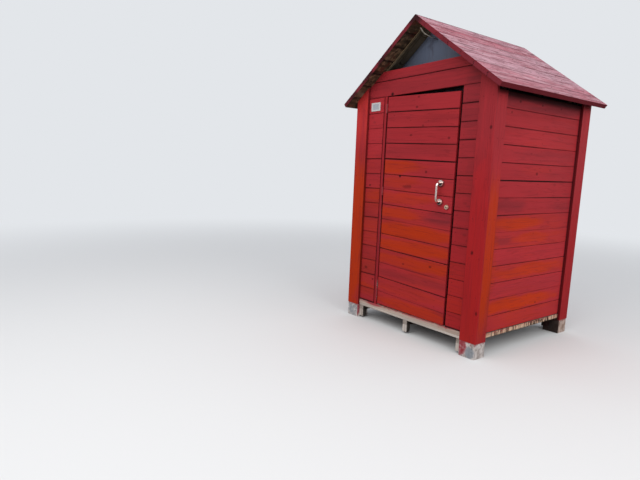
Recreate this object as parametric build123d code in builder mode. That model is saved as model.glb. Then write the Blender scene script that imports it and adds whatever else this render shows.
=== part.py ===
from build123d import *
import os
from math import cos, radians, sin, tan

os.makedirs("parts", exist_ok=True)

# A small timber beach hut: boarded walls on four corner posts, a boarded gable roof,
# and one outward-opening door that has sagged towards its latch side.
# Millimetres. Origin at the centre of the ground rectangle, +Z up, the door faces -Y.

# Body, measured over the corner boards
BODY_WIDTH = 1450
BODY_DEPTH = 1400
FOOT_HEIGHT = 125
FLOOR_OVER_FEET_HEIGHT = 55

# Wall boarding
BOARD_COVER = 135
BOARD_THICKNESS = 20
ROWS_TO_DOOR_HEAD = 14
HEAD_PANEL_HEIGHT = 217

# Corner posts and the boards that case them
POST_SIZE = 95
CORNER_BOARD_THICKNESS = 20
CORNER_BOARD_FRONT_WIDTH = 143
CORNER_BOARD_SIDE_WIDTH = 115
CORNER_FILLET_RADIUS = 2.5
FOOT_INSET = 3
FOOT_CHAMFER_LENGTH = 3

# Roof: its underside passes the outer face of the side boarding just above the door head
ROOF_PITCH = 37.3
WALL_HEIGHT_OVER_DOOR = 3
EAVE_OVERHANG_LENGTH = 89
EAVE_GAP_HEIGHT = 63
ROOF_BOARD_THICKNESS = 36
GABLE_OVERHANG_LENGTH = 90

# Roof framing
RAFTER_THICKNESS = 45
RAFTER_DEPTH = 70
RAFTER_SEAT = 32
PLATE_WIDTH = 45
PLATE_HEIGHT = 70
GABLE_BATTEN_THICKNESS = 22
GABLE_BATTEN_WIDTH = 45
APEX_GAP = 4
GABLE_PANEL_RECESS = 158
GABLE_PANEL_THICKNESS = 12
GABLE_PANEL_LAP = 20

# Floor
DECK_THICKNESS = 36
DECK_BOARD_WIDTH = 95
JOIST_WIDTH = 45
JOIST_SETBACK = 8
JOIST_DEPTH = 64
JOIST_GROUND_GAP = 15

# Wall studs
STUD_WIDTH = 45
STUD_DEPTH = 70
REAR_STUD_SPACING = 470
HEADER_HEIGHT = 70

# Front: a panel each side of the opening, the hinge strip, and the leaf in what is left
LEFT_PANEL_WIDTH = 188
RIGHT_PANEL_WIDTH = 153
LEAF_THICKNESS = 20
HINGE_GAP = 14
LATCH_GAP = 25
HINGE_STRIP_WIDTH = 29
STRIP_JOINT = 8
HEAD_GAP_AT_HINGE = 6
LEAF_SAG = 33
SILL_GAP_AT_HINGE = 12
SILL_GAP_AT_LATCH = 6

# Door ledges and brace, on the inner side
LEDGE_WIDTH = 95
LEDGE_THICKNESS = 22
LEDGE_END_INSET = 40
LEDGE_EDGE_DISTANCE = 190
BRACE_WIDTH = 80

# Door stop on the latch side
STOP_LAP = 10
STOP_THICKNESS = 25
STOP_CLEARANCE = 10

# Butt hinges
HINGE_HEIGHT = 76
HINGE_PLATE_THICKNESS = 2.5
HINGE_PLATE_DEPTH = 18
KNUCKLE_RADIUS = 6.5
KNUCKLE_GAP = 1
PIN_RADIUS = 3
PIN_CLEARANCE = 0.1
KNUCKLE_FACE_CLEARANCE = 0.5
BOTTOM_HINGE_HEIGHT = 120
MIDDLE_HINGE_DEPTH = 830
TOP_HINGE_DEPTH = 105

# Pull handle and lock
HANDLE_EDGE_DISTANCE = 122
HANDLE_HEIGHT = 1003
HANDLE_CENTRE_DISTANCE = 150
HANDLE_BAR_RADIUS = 9.5
HANDLE_STANDOFF = 46
HANDLE_BEND_RADIUS = 24
ROSE_RADIUS = 26
ROSE_THICKNESS = 6
ROSE_TAPER = 25
LOCK_EDGE_DISTANCE = 49
LOCK_DEPTH_BELOW_HANDLE = 38
ESCUTCHEON_RADIUS = 20
ESCUTCHEON_THICKNESS = 7
ESCUTCHEON_TAPER = 20
LOCK_CYLINDER_RADIUS = 8.5
LOCK_CYLINDER_PROUD = 3
KEY_SLOT_WIDTH = 2.5
KEY_SLOT_HEIGHT = 8
KEY_SLOT_DEPTH = 2

# Blank plate on the left front panel
BLANK_PLATE_WIDTH = 112
BLANK_PLATE_HEIGHT = 74
BLANK_PLATE_THICKNESS = 3
BLANK_PLATE_EDGE_DISTANCE = 45
BLANK_PLATE_HEAD_DISTANCE = 40

# Worked-out places
FLOOR_HEIGHT = FOOT_HEIGHT + FLOOR_OVER_FEET_HEIGHT
HALF_WIDTH = BODY_WIDTH / 2
HALF_DEPTH = BODY_DEPTH / 2
SIDING_X = HALF_WIDTH - CORNER_BOARD_THICKNESS
SIDING_Y = HALF_DEPTH - CORNER_BOARD_THICKNESS
INNER_X = SIDING_X - BOARD_THICKNESS
INNER_Y = SIDING_Y - BOARD_THICKNESS
CORNER_INNER_X = HALF_WIDTH - CORNER_BOARD_FRONT_WIDTH
CORNER_INNER_Y = SIDING_Y - CORNER_BOARD_SIDE_WIDTH
EAVE_HALF_WIDTH = HALF_WIDTH + EAVE_OVERHANG_LENGTH
DOOR_HEAD = FLOOR_HEIGHT + ROWS_TO_DOOR_HEAD * BOARD_COVER
HEAD_TOP = DOOR_HEAD + HEAD_PANEL_HEIGHT
DECK_BOTTOM = FLOOR_HEIGHT - DECK_THICKNESS
SLOPE = tan(radians(ROOF_PITCH))
PLUMB = 1 / cos(radians(ROOF_PITCH))
RIDGE_HEIGHT = DOOR_HEAD + WALL_HEIGHT_OVER_DOOR + SIDING_X * SLOPE + ROOF_BOARD_THICKNESS * PLUMB

LEFT_PANEL_EDGE = LEFT_PANEL_WIDTH - CORNER_INNER_X
STRIP_LEFT = LEFT_PANEL_EDGE + STRIP_JOINT
STRIP_RIGHT = STRIP_LEFT + HINGE_STRIP_WIDTH
LEAF_LEFT = STRIP_RIGHT + HINGE_GAP
RIGHT_PANEL_EDGE = CORNER_INNER_X - RIGHT_PANEL_WIDTH
LEAF_RIGHT = RIGHT_PANEL_EDGE - LATCH_GAP
LEAF_WIDTH = LEAF_RIGHT - LEAF_LEFT
LEAF_BACK_Y = -SIDING_Y + LEAF_THICKNESS
HINGE_X = (LEAF_LEFT + STRIP_RIGHT) / 2
HINGE_Y = -SIDING_Y - KNUCKLE_RADIUS - KNUCKLE_FACE_CLEARANCE
HINGE_CENTRES = (FLOOR_HEIGHT + BOTTOM_HINGE_HEIGHT, DOOR_HEAD - MIDDLE_HINGE_DEPTH, DOOR_HEAD - TOP_HINGE_DEPTH)


def roof_top(x):
    """Height of the roof's upper face at a distance x from the ridge."""
    return RIDGE_HEIGHT - abs(x) * SLOPE


def roof_under(x):
    """Height of the roof boards' lower face."""
    return roof_top(x) - ROOF_BOARD_THICKNESS * PLUMB


def batten_under(x):
    """Height of the gable battens' lower face."""
    return roof_under(x) - GABLE_BATTEN_THICKNESS * PLUMB


def rafter_under(x):
    """Height of the rafters' lower face."""
    return roof_under(x) - RAFTER_DEPTH * PLUMB


def x_under(height, line):
    """Distance from the ridge at which a sloping line comes down to a height."""
    return (line(0) - height) / SLOPE


def sagged(x, height):
    """Height on the leaf of what was level before the latch side dropped."""
    return height - LEAF_SAG * (x - LEAF_LEFT) / LEAF_WIDTH


def facade(y):
    """Upright plane at y, with local x along +X and local y along +Z."""
    return Plane.XZ.offset(-y)


def boarding(x_low, x_high, z_low, z_high):
    """Face of boarding, with its top corners cut to the roof."""
    with BuildSketch() as face:
        with BuildLine():
            Polyline(
                (-EAVE_HALF_WIDTH, 0),
                (EAVE_HALF_WIDTH, 0),
                (EAVE_HALF_WIDTH, roof_under(EAVE_HALF_WIDTH)),
                (0, roof_under(0)),
                (-EAVE_HALF_WIDTH, roof_under(EAVE_HALF_WIDTH)),
                close=True,
            )
        make_face()
        with Locations(((x_low + x_high) / 2, (z_low + z_high) / 2)):
            Rectangle(x_high - x_low, z_high - z_low, mode=Mode.INTERSECT)
    return face.sketch


def save(piece, label):
    """Name a finished piece and write its file."""
    piece.part.label = label
    export_step(piece.part, f"parts/{label}.step")


WALL_TOP = roof_under(SIDING_X) - EAVE_GAP_HEIGHT
PLATE_TOP = rafter_under(INNER_X - RAFTER_SEAT)
PLATE_BOTTOM = PLATE_TOP - PLATE_HEIGHT
CORNERS = {
    "front_left": (-1, -1),
    "front_right": (1, -1),
    "rear_left": (-1, 1),
    "rear_right": (1, 1),
}

# Feet: squared blocks under the corner boards
foot_width = CORNER_BOARD_FRONT_WIDTH - FOOT_INSET
foot_depth = CORNER_BOARD_SIDE_WIDTH + CORNER_BOARD_THICKNESS - FOOT_INSET
for corner, (side, end) in CORNERS.items():
    with BuildPart() as foot:
        with BuildSketch(Plane.XY):
            with Locations((side * (CORNER_INNER_X + foot_width / 2), end * (CORNER_INNER_Y + foot_depth / 2))):
                Rectangle(foot_width, foot_depth)
        extrude(amount=FOOT_HEIGHT)
        chamfer(foot.edges().filter_by(Axis.Z), length=FOOT_CHAMFER_LENGTH)
    save(foot, f"foot_{corner}")

# Corner posts, standing on the feet inside the boarding
for corner, (side, end) in CORNERS.items():
    with BuildPart() as post:
        with BuildSketch(Plane.XY.offset(FOOT_HEIGHT)):
            with Locations((side * (INNER_X - POST_SIZE / 2), end * (INNER_Y - POST_SIZE / 2))):
                Rectangle(POST_SIZE, POST_SIZE)
        extrude(amount=PLATE_BOTTOM - FOOT_HEIGHT)
    save(post, f"post_{corner}")

# Corner boards that face the front and the rear, cut to the roof slope at the top
for end_name, end in (("front", -1), ("rear", 1)):
    with BuildPart() as corner_pair:
        with BuildSketch(facade(max(end * HALF_DEPTH, end * SIDING_Y))):
            with BuildLine():
                Polyline(
                    (CORNER_INNER_X, FOOT_HEIGHT),
                    (HALF_WIDTH, FOOT_HEIGHT),
                    (HALF_WIDTH, roof_under(HALF_WIDTH)),
                    (CORNER_INNER_X, roof_under(CORNER_INNER_X)),
                    close=True,
                )
            make_face()
        extrude(amount=CORNER_BOARD_THICKNESS)
        outer_arrises = corner_pair.edges().filter_by(Axis.Z).group_by(Axis.Y)[0 if end < 0 else -1]
        fillet(outer_arrises, radius=CORNER_FILLET_RADIUS)
        mirror(about=Plane.YZ)
    save(corner_pair, f"corner_boards_{end_name}")

# Corner boards that face the sides: the front ones end level with the side boarding
for side_name, side in (("left", -1), ("right", 1)):
    with BuildPart() as corner_pair:
        with BuildSketch(facade(SIDING_Y)):
            with BuildLine():
                Polyline(
                    (side * SIDING_X, FOOT_HEIGHT),
                    (side * HALF_WIDTH, FOOT_HEIGHT),
                    (side * HALF_WIDTH, roof_under(HALF_WIDTH)),
                    (side * SIDING_X, roof_under(SIDING_X)),
                    close=True,
                )
            make_face()
        extrude(amount=CORNER_BOARD_SIDE_WIDTH)
        inner_arris = corner_pair.edges().filter_by(Axis.Z).sort_by(Axis.Y)[:2].sort_by(Axis.X)[0 if side < 0 else -1]
        fillet(inner_arris, radius=CORNER_FILLET_RADIUS)
        mirror(about=Plane.XZ)
        with BuildSketch(Plane.XY.offset(WALL_TOP)):
            with Locations((side * (SIDING_X + HALF_WIDTH) / 2, -(SIDING_Y + CORNER_INNER_Y) / 2)):
                Rectangle(2 * CORNER_BOARD_THICKNESS, 2 * CORNER_BOARD_SIDE_WIDTH)
        extrude(amount=RIDGE_HEIGHT - WALL_TOP, mode=Mode.SUBTRACT)
    save(corner_pair, f"corner_boards_{side_name}")

# Boarded side walls, standing on the deck, with an open gap under the eave
for side_name, side in (("left", -1), ("right", 1)):
    with BuildPart() as side_wall:
        with BuildSketch(Plane.XY.offset(FLOOR_HEIGHT)):
            with Locations((side * (INNER_X + SIDING_X) / 2, 0)):
                Rectangle(BOARD_THICKNESS, 2 * INNER_Y)
        extrude(amount=WALL_TOP - FLOOR_HEIGHT)
    save(side_wall, f"{side_name}_wall")

# Rear wall, one face of boarding up to the gable opening
with BuildPart() as rear_wall:
    with BuildSketch(facade(SIDING_Y)):
        add(boarding(-SIDING_X, SIDING_X, FLOOR_HEIGHT, HEAD_TOP))
    extrude(amount=BOARD_THICKNESS)
save(rear_wall, "rear_wall")

# Front boarding: a panel each side of the door, cut square at the door head
with BuildPart() as front_left_panel:
    with BuildSketch(facade(-INNER_Y)):
        add(boarding(-SIDING_X, LEFT_PANEL_EDGE, FLOOR_HEIGHT, DOOR_HEAD))
    extrude(amount=BOARD_THICKNESS)
save(front_left_panel, "front_left_panel")

with BuildPart() as front_right_panel:
    with BuildSketch(facade(-INNER_Y)):
        add(boarding(RIGHT_PANEL_EDGE, SIDING_X, FLOOR_HEIGHT, DOOR_HEAD))
    extrude(amount=BOARD_THICKNESS)
save(front_right_panel, "front_right_panel")

# Boards over the door
with BuildPart() as front_head_panel:
    with BuildSketch(facade(-INNER_Y)):
        add(boarding(-SIDING_X, SIDING_X, DOOR_HEAD, HEAD_TOP))
    extrude(amount=BOARD_THICKNESS)
save(front_head_panel, "front_head_panel")

# Narrow upright strip that the hinges are fixed to
with BuildPart() as hinge_strip:
    with BuildSketch(Plane.XY.offset(FLOOR_HEIGHT)):
        with Locations(((STRIP_LEFT + STRIP_RIGHT) / 2, -(SIDING_Y + INNER_Y) / 2)):
            Rectangle(HINGE_STRIP_WIDTH, BOARD_THICKNESS)
    extrude(amount=DOOR_HEAD - FLOOR_HEIGHT)
save(hinge_strip, "hinge_strip")

# Wall plates along the tops of the posts, with level tops for the rafter seats
for side_name, side in (("left", -1), ("right", 1)):
    with BuildPart() as wall_plate:
        with BuildSketch(Plane.XY.offset(PLATE_BOTTOM)):
            with Locations((side * (INNER_X - PLATE_WIDTH / 2), 0)):
                Rectangle(PLATE_WIDTH, 2 * INNER_Y)
        extrude(amount=PLATE_HEIGHT)
    save(wall_plate, f"wall_plate_{side_name}")

# Rafters: plumb cut at the ridge, level seat on the plate, plumb cut at the boarding
panel_back_y = SIDING_Y - GABLE_PANEL_RECESS - GABLE_PANEL_THICKNESS
rafter_starts = (panel_back_y, RAFTER_THICKNESS / 2, -panel_back_y + RAFTER_THICKNESS)
for side_name, side in (("left", -1), ("right", 1)):
    with BuildPart() as rafters:
        for y in rafter_starts:
            with BuildSketch(facade(y)):
                with BuildLine():
                    Polyline(
                        (0, roof_under(0)),
                        (0, rafter_under(0)),
                        (side * (INNER_X - RAFTER_SEAT), PLATE_TOP),
                        (side * INNER_X, PLATE_TOP),
                        (side * INNER_X, roof_under(INNER_X)),
                        close=True,
                    )
                make_face()
            extrude(amount=RAFTER_THICKNESS)
    save(rafters, f"rafters_{side_name}")

# Tie beams between the plates, which carry the feet of the gable panels
with BuildPart() as tie_beams:
    with BuildSketch(Plane.XY.offset(PLATE_BOTTOM)):
        with Locations((0, panel_back_y - RAFTER_THICKNESS / 2), (0, RAFTER_THICKNESS / 2 - panel_back_y)):
            Rectangle(2 * (INNER_X - PLATE_WIDTH), RAFTER_THICKNESS)
    extrude(amount=PLATE_HEIGHT)
save(tie_beams, "tie_beams")

# Flat battens under the roof boards, against the back of the front and rear boarding
for end_name, batten_back_y in (("front", GABLE_BATTEN_WIDTH - INNER_Y), ("rear", INNER_Y)):
    with BuildPart() as gable_battens:
        with BuildSketch(facade(batten_back_y)):
            with BuildLine():
                Polyline(
                    (APEX_GAP / 2, roof_under(APEX_GAP / 2)),
                    (APEX_GAP / 2, batten_under(APEX_GAP / 2)),
                    (INNER_X, batten_under(INNER_X)),
                    (INNER_X, roof_under(INNER_X)),
                    close=True,
                )
            make_face()
        extrude(amount=GABLE_BATTEN_WIDTH)
        mirror(about=Plane.YZ)
    save(gable_battens, f"gable_battens_{end_name}")

# Flat panels that close the gables, set back behind the boarding
for end_name, end in (("front", -1), ("rear", 1)):
    panel_face_y = SIDING_Y - GABLE_PANEL_RECESS
    panel_bottom = PLATE_TOP - GABLE_PANEL_LAP
    with BuildPart() as gable_panel:
        with BuildSketch(facade(panel_face_y if end > 0 else -panel_back_y)):
            with BuildLine():
                Polyline(
                    (INNER_X - PLATE_WIDTH, panel_bottom),
                    (INNER_X - PLATE_WIDTH, roof_under(INNER_X - PLATE_WIDTH)),
                    (0, roof_under(0)),
                    (PLATE_WIDTH - INNER_X, roof_under(INNER_X - PLATE_WIDTH)),
                    (PLATE_WIDTH - INNER_X, panel_bottom),
                    close=True,
                )
            make_face()
        extrude(amount=GABLE_PANEL_THICKNESS)
    save(gable_panel, f"gable_panel_{end_name}")

# Roof slopes: boards laid along the ridge, plumb cut there and square cut at the eave
for side_name, side in (("left", -1), ("right", 1)):
    eave_in = EAVE_HALF_WIDTH - ROOF_BOARD_THICKNESS * sin(radians(ROOF_PITCH))
    eave_bottom = roof_top(EAVE_HALF_WIDTH) - ROOF_BOARD_THICKNESS * cos(radians(ROOF_PITCH))
    with BuildPart() as roof_slope:
        with BuildSketch(facade(HALF_DEPTH + GABLE_OVERHANG_LENGTH)):
            with BuildLine():
                Polyline(
                    (0, RIDGE_HEIGHT),
                    (side * EAVE_HALF_WIDTH, roof_top(EAVE_HALF_WIDTH)),
                    (side * eave_in, eave_bottom),
                    (0, roof_under(0)),
                    close=True,
                )
            make_face()
        extrude(amount=2 * (HALF_DEPTH + GABLE_OVERHANG_LENGTH))
    save(roof_slope, f"roof_{side_name}_slope")

# Deck: notched round the corner posts, with its front board as a piece of its own
sill_back_y = -SIDING_Y + DECK_BOARD_WIDTH
with BuildPart() as floor_deck:
    with BuildSketch(Plane.XY.offset(DECK_BOTTOM)):
        Rectangle(2 * SIDING_X, 2 * CORNER_INNER_Y)
        with Locations((0, (SIDING_Y + sill_back_y) / 2)):
            Rectangle(2 * CORNER_INNER_X, SIDING_Y - sill_back_y)
    extrude(amount=DECK_THICKNESS)
save(floor_deck, "floor_deck")

with BuildPart() as front_sill:
    with BuildSketch(Plane.XY.offset(DECK_BOTTOM)):
        with Locations((0, -SIDING_Y + DECK_BOARD_WIDTH / 2)):
            Rectangle(2 * CORNER_INNER_X, DECK_BOARD_WIDTH)
    extrude(amount=DECK_THICKNESS)
save(front_sill, "front_sill")

# Joists under the deck: one against each pair of feet and one in the middle
joist_x = CORNER_INNER_X - JOIST_WIDTH / 2
joist_end_y = SIDING_Y - JOIST_SETBACK
with BuildPart() as floor_joists:
    with BuildSketch(Plane.XY.offset(DECK_BOTTOM - JOIST_DEPTH)):
        with Locations((-joist_x, 0), (0, 0), (joist_x, 0)):
            Rectangle(JOIST_WIDTH, 2 * joist_end_y)
    extrude(amount=JOIST_DEPTH)
save(floor_joists, "floor_joists")

# Short legs under the joist ends, clear of level ground
leg_y = joist_end_y - JOIST_WIDTH / 2
with BuildPart() as joist_legs:
    with BuildSketch(Plane.XY.offset(JOIST_GROUND_GAP)):
        with GridLocations(joist_x, 2 * leg_y, 3, 2):
            Rectangle(JOIST_WIDTH, JOIST_WIDTH)
    extrude(amount=DECK_BOTTOM - JOIST_DEPTH - JOIST_GROUND_GAP)
save(joist_legs, "joist_legs")

# Studs between the corner posts, behind the side and rear boarding
side_stud_x = INNER_X - STUD_DEPTH / 2
with BuildPart() as side_studs:
    with BuildSketch(Plane.XY.offset(FLOOR_HEIGHT)):
        with Locations((-side_stud_x, 0), (side_stud_x, 0)):
            Rectangle(STUD_DEPTH, STUD_WIDTH)
    extrude(amount=PLATE_BOTTOM - FLOOR_HEIGHT)
save(side_studs, "side_wall_studs")

with BuildPart() as rear_studs:
    with BuildSketch(Plane.XY.offset(FLOOR_HEIGHT)):
        with Locations((0, INNER_Y - STUD_DEPTH / 2)):
            with GridLocations(REAR_STUD_SPACING, 1, 2, 1):
                Rectangle(STUD_WIDTH, STUD_DEPTH)
    extrude(amount=DOOR_HEAD - FLOOR_HEIGHT)
save(rear_studs, "rear_wall_studs")

# Door posts either side of the opening, with a header across them
hinge_post_x = STRIP_RIGHT - STUD_WIDTH / 2
latch_post_x = RIGHT_PANEL_EDGE + STRIP_JOINT + STUD_WIDTH / 2
door_post_y = STUD_DEPTH / 2 - INNER_Y
with BuildPart() as door_posts:
    with BuildSketch(Plane.XY.offset(FLOOR_HEIGHT)):
        with Locations((hinge_post_x, door_post_y), (latch_post_x, door_post_y)):
            Rectangle(STUD_WIDTH, STUD_DEPTH)
    extrude(amount=DOOR_HEAD - FLOOR_HEIGHT)
save(door_posts, "door_posts")

with BuildPart() as door_header:
    with BuildSketch(Plane.XY.offset(DOOR_HEAD)):
        with Locations(((hinge_post_x + latch_post_x) / 2, door_post_y)):
            Rectangle(latch_post_x - hinge_post_x + STUD_WIDTH, STUD_DEPTH)
    extrude(amount=HEADER_HEIGHT)
save(door_header, "door_header")

with BuildPart() as door_stop:
    stop_right = RIGHT_PANEL_EDGE + STRIP_JOINT
    stop_left = LEAF_RIGHT - STOP_LAP
    stop_front_y = LEAF_BACK_Y + STOP_CLEARANCE
    with BuildSketch(Plane.XY.offset(FLOOR_HEIGHT)):
        with Locations(((stop_left + stop_right) / 2, stop_front_y + STOP_THICKNESS / 2)):
            Rectangle(stop_right - stop_left, STOP_THICKNESS)
    extrude(amount=DOOR_HEAD - FLOOR_HEIGHT)
save(door_stop, "door_stop")

# Door leaf: its upright edges are plumb, its boards slope down to the latch
with BuildPart() as door_leaf:
    with BuildSketch(facade(LEAF_BACK_Y)):
        with BuildLine():
            Polyline(
                (LEAF_LEFT, FLOOR_HEIGHT + SILL_GAP_AT_HINGE),
                (LEAF_RIGHT, FLOOR_HEIGHT + SILL_GAP_AT_LATCH),
                (LEAF_RIGHT, sagged(LEAF_RIGHT, DOOR_HEAD - HEAD_GAP_AT_HINGE)),
                (LEAF_LEFT, DOOR_HEAD - HEAD_GAP_AT_HINGE),
                close=True,
            )
        make_face()
    extrude(amount=LEAF_THICKNESS)
save(door_leaf, "door_leaf")

# Ledges across the inner face, sagged with the boards
ledge_heights = (
    FLOOR_HEIGHT + LEDGE_EDGE_DISTANCE,
    (FLOOR_HEIGHT + DOOR_HEAD) / 2,
    DOOR_HEAD - LEDGE_EDGE_DISTANCE,
)
ledge_left = LEAF_LEFT + LEDGE_END_INSET
ledge_right = LEAF_RIGHT - LEDGE_END_INSET
with BuildPart() as door_ledges:
    for height in ledge_heights:
        with BuildSketch(facade(LEAF_BACK_Y + LEDGE_THICKNESS)):
            with BuildLine():
                Polyline(
                    (ledge_left, sagged(ledge_left, height - LEDGE_WIDTH / 2)),
                    (ledge_right, sagged(ledge_right, height - LEDGE_WIDTH / 2)),
                    (ledge_right, sagged(ledge_right, height + LEDGE_WIDTH / 2)),
                    (ledge_left, sagged(ledge_left, height + LEDGE_WIDTH / 2)),
                    close=True,
                )
            make_face()
        extrude(amount=LEDGE_THICKNESS)
save(door_ledges, "door_ledges")

# Braces between the ledges, rising from the hinge side to the latch side
with BuildPart() as door_braces:
    for low, high in zip(ledge_heights[:-1], ledge_heights[1:]):
        low_edge = low + LEDGE_WIDTH / 2
        high_edge = high - LEDGE_WIDTH / 2
        with BuildSketch(facade(LEAF_BACK_Y + LEDGE_THICKNESS)):
            with BuildLine():
                Polyline(
                    (ledge_left, sagged(ledge_left, low_edge)),
                    (ledge_left + BRACE_WIDTH, sagged(ledge_left + BRACE_WIDTH, low_edge)),
                    (ledge_right, sagged(ledge_right, high_edge)),
                    (ledge_right - BRACE_WIDTH, sagged(ledge_right - BRACE_WIDTH, high_edge)),
                    close=True,
                )
            make_face()
        extrude(amount=LEDGE_THICKNESS)
save(door_braces, "door_braces")

# Butt hinges: two outer knuckles and the pin on the strip, one middle knuckle on the leaf
knuckle_length = (HINGE_HEIGHT - 2 * KNUCKLE_GAP) / 3
plate_back_y = HINGE_Y + KNUCKLE_RADIUS + KNUCKLE_FACE_CLEARANCE + HINGE_PLATE_DEPTH
plate_relief_y = HINGE_Y + KNUCKLE_RADIUS + KNUCKLE_GAP


with BuildPart() as frame_hinges:
    for centre in HINGE_CENTRES:
        z_low = centre - HINGE_HEIGHT / 2
        z_high = z_low + HINGE_HEIGHT - knuckle_length
        with BuildSketch(Plane.XY.offset(z_low)):
            with Locations((HINGE_X, HINGE_Y)):
                Circle(PIN_RADIUS)
            with Locations((STRIP_RIGHT + HINGE_PLATE_THICKNESS / 2, (plate_relief_y + plate_back_y) / 2)):
                Rectangle(HINGE_PLATE_THICKNESS, plate_back_y - plate_relief_y)
        extrude(amount=HINGE_HEIGHT)
        for z in (z_low, z_high):
            with BuildSketch(Plane.XY.offset(z)):
                with Locations((HINGE_X, HINGE_Y)):
                    Circle(KNUCKLE_RADIUS)
                with Locations((STRIP_RIGHT + HINGE_PLATE_THICKNESS / 2, (HINGE_Y + plate_back_y) / 2)):
                    Rectangle(HINGE_PLATE_THICKNESS, plate_back_y - HINGE_Y)
            extrude(amount=knuckle_length)
save(frame_hinges, "hinges_frame_side")

with BuildPart() as leaf_hinges:
    for centre in HINGE_CENTRES:
        z_low = centre - HINGE_HEIGHT / 2
        z_middle = z_low + knuckle_length + KNUCKLE_GAP
        with BuildSketch(Plane.XY.offset(z_low)):
            with Locations((LEAF_LEFT - HINGE_PLATE_THICKNESS / 2, (plate_relief_y + plate_back_y) / 2)):
                Rectangle(HINGE_PLATE_THICKNESS, plate_back_y - plate_relief_y)
        extrude(amount=HINGE_HEIGHT)
        with BuildSketch(Plane.XY.offset(z_middle)):
            with Locations((HINGE_X, HINGE_Y)):
                Circle(KNUCKLE_RADIUS)
            with Locations((LEAF_LEFT - HINGE_PLATE_THICKNESS / 2, (HINGE_Y + plate_back_y) / 2)):
                Rectangle(HINGE_PLATE_THICKNESS, plate_back_y - HINGE_Y)
            with Locations((HINGE_X, HINGE_Y)):
                Circle(PIN_RADIUS + PIN_CLEARANCE, mode=Mode.SUBTRACT)
        extrude(amount=knuckle_length)
save(leaf_hinges, "hinges_leaf_side")

# Pull handle: a round bar bent into a D between two roses
handle_x = LEAF_RIGHT - HANDLE_EDGE_DISTANCE
handle_low_z = FLOOR_HEIGHT + HANDLE_HEIGHT
handle_top_z = handle_low_z + HANDLE_CENTRE_DISTANCE
with BuildPart() as door_handle:
    with BuildLine() as handle_path:
        FilletPolyline(
            (handle_x, -SIDING_Y, handle_low_z),
            (handle_x, -SIDING_Y - HANDLE_STANDOFF, handle_low_z),
            (handle_x, -SIDING_Y - HANDLE_STANDOFF, handle_top_z),
            (handle_x, -SIDING_Y, handle_top_z),
            radius=HANDLE_BEND_RADIUS,
        )
    with BuildSketch(Plane(origin=handle_path.line @ 0, z_dir=handle_path.line % 0)):
        Circle(HANDLE_BAR_RADIUS)
    sweep()
    with BuildSketch(facade(-SIDING_Y)):
        with Locations((handle_x, handle_low_z), (handle_x, handle_top_z)):
            Circle(ROSE_RADIUS)
    extrude(amount=ROSE_THICKNESS, taper=ROSE_TAPER)
save(door_handle, "door_handle")

# Round lock escutcheon with its cylinder
lock_x = LEAF_RIGHT - LOCK_EDGE_DISTANCE
lock_z = handle_low_z - LOCK_DEPTH_BELOW_HANDLE
cylinder_face = SIDING_Y + ESCUTCHEON_THICKNESS + LOCK_CYLINDER_PROUD
with BuildPart() as escutcheon:
    with BuildSketch(facade(-SIDING_Y)):
        with Locations((lock_x, lock_z)):
            Circle(ESCUTCHEON_RADIUS)
    extrude(amount=ESCUTCHEON_THICKNESS, taper=ESCUTCHEON_TAPER)
    with BuildSketch(facade(-SIDING_Y)):
        with Locations((lock_x, lock_z)):
            Circle(LOCK_CYLINDER_RADIUS)
    extrude(amount=ESCUTCHEON_THICKNESS + LOCK_CYLINDER_PROUD)
    with BuildSketch(facade(-cylinder_face)):
        with Locations((lock_x, lock_z)):
            Rectangle(KEY_SLOT_WIDTH, KEY_SLOT_HEIGHT)
    extrude(amount=-KEY_SLOT_DEPTH, mode=Mode.SUBTRACT)
save(escutcheon, "lock_escutcheon")

# Blank plate on the left front panel
plate_x = LEFT_PANEL_EDGE - BLANK_PLATE_EDGE_DISTANCE - BLANK_PLATE_WIDTH / 2
plate_z = DOOR_HEAD - BLANK_PLATE_HEAD_DISTANCE - BLANK_PLATE_HEIGHT / 2
with BuildPart() as blank_plate:
    with BuildSketch(facade(-SIDING_Y)):
        with Locations((plate_x, plate_z)):
            Rectangle(BLANK_PLATE_WIDTH, BLANK_PLATE_HEIGHT)
    extrude(amount=BLANK_PLATE_THICKNESS)
save(blank_plate, "blank_plate")
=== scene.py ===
"""A small timber beach hut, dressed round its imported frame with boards, joints, nails and finishes."""

import logging
import math
from dataclasses import dataclass
from enum import Enum
from itertools import pairwise
from typing import Any

import bmesh
import bpy
from mathutils import Euler, Matrix, Vector


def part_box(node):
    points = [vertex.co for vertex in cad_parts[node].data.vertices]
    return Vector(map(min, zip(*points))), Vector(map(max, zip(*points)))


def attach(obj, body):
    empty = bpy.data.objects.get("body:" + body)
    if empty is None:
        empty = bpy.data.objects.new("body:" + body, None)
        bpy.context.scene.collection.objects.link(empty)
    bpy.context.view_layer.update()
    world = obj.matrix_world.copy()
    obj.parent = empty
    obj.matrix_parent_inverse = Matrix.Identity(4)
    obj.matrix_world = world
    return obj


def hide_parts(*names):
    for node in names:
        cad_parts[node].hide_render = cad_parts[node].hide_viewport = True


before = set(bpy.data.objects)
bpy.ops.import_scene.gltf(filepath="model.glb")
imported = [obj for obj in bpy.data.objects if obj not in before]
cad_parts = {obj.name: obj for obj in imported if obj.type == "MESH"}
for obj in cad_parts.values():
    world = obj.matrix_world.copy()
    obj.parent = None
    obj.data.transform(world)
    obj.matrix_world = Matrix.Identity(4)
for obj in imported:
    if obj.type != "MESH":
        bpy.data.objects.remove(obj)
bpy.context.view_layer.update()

LOG = logging.getLogger("beach_hut")

# The roof's slope and the thickness of its boards
ROOF_PITCH = math.radians(37.3)
PLUMB = 1 / math.cos(ROOF_PITCH)
ROOF_BOARD = 0.036

# The planes of the front and of the right side, where the finishes place their areas, and those areas' depth
FRONT_Y = -0.69
RIGHT_X = 0.71
AREA_DEPTH = 0.3

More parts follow.
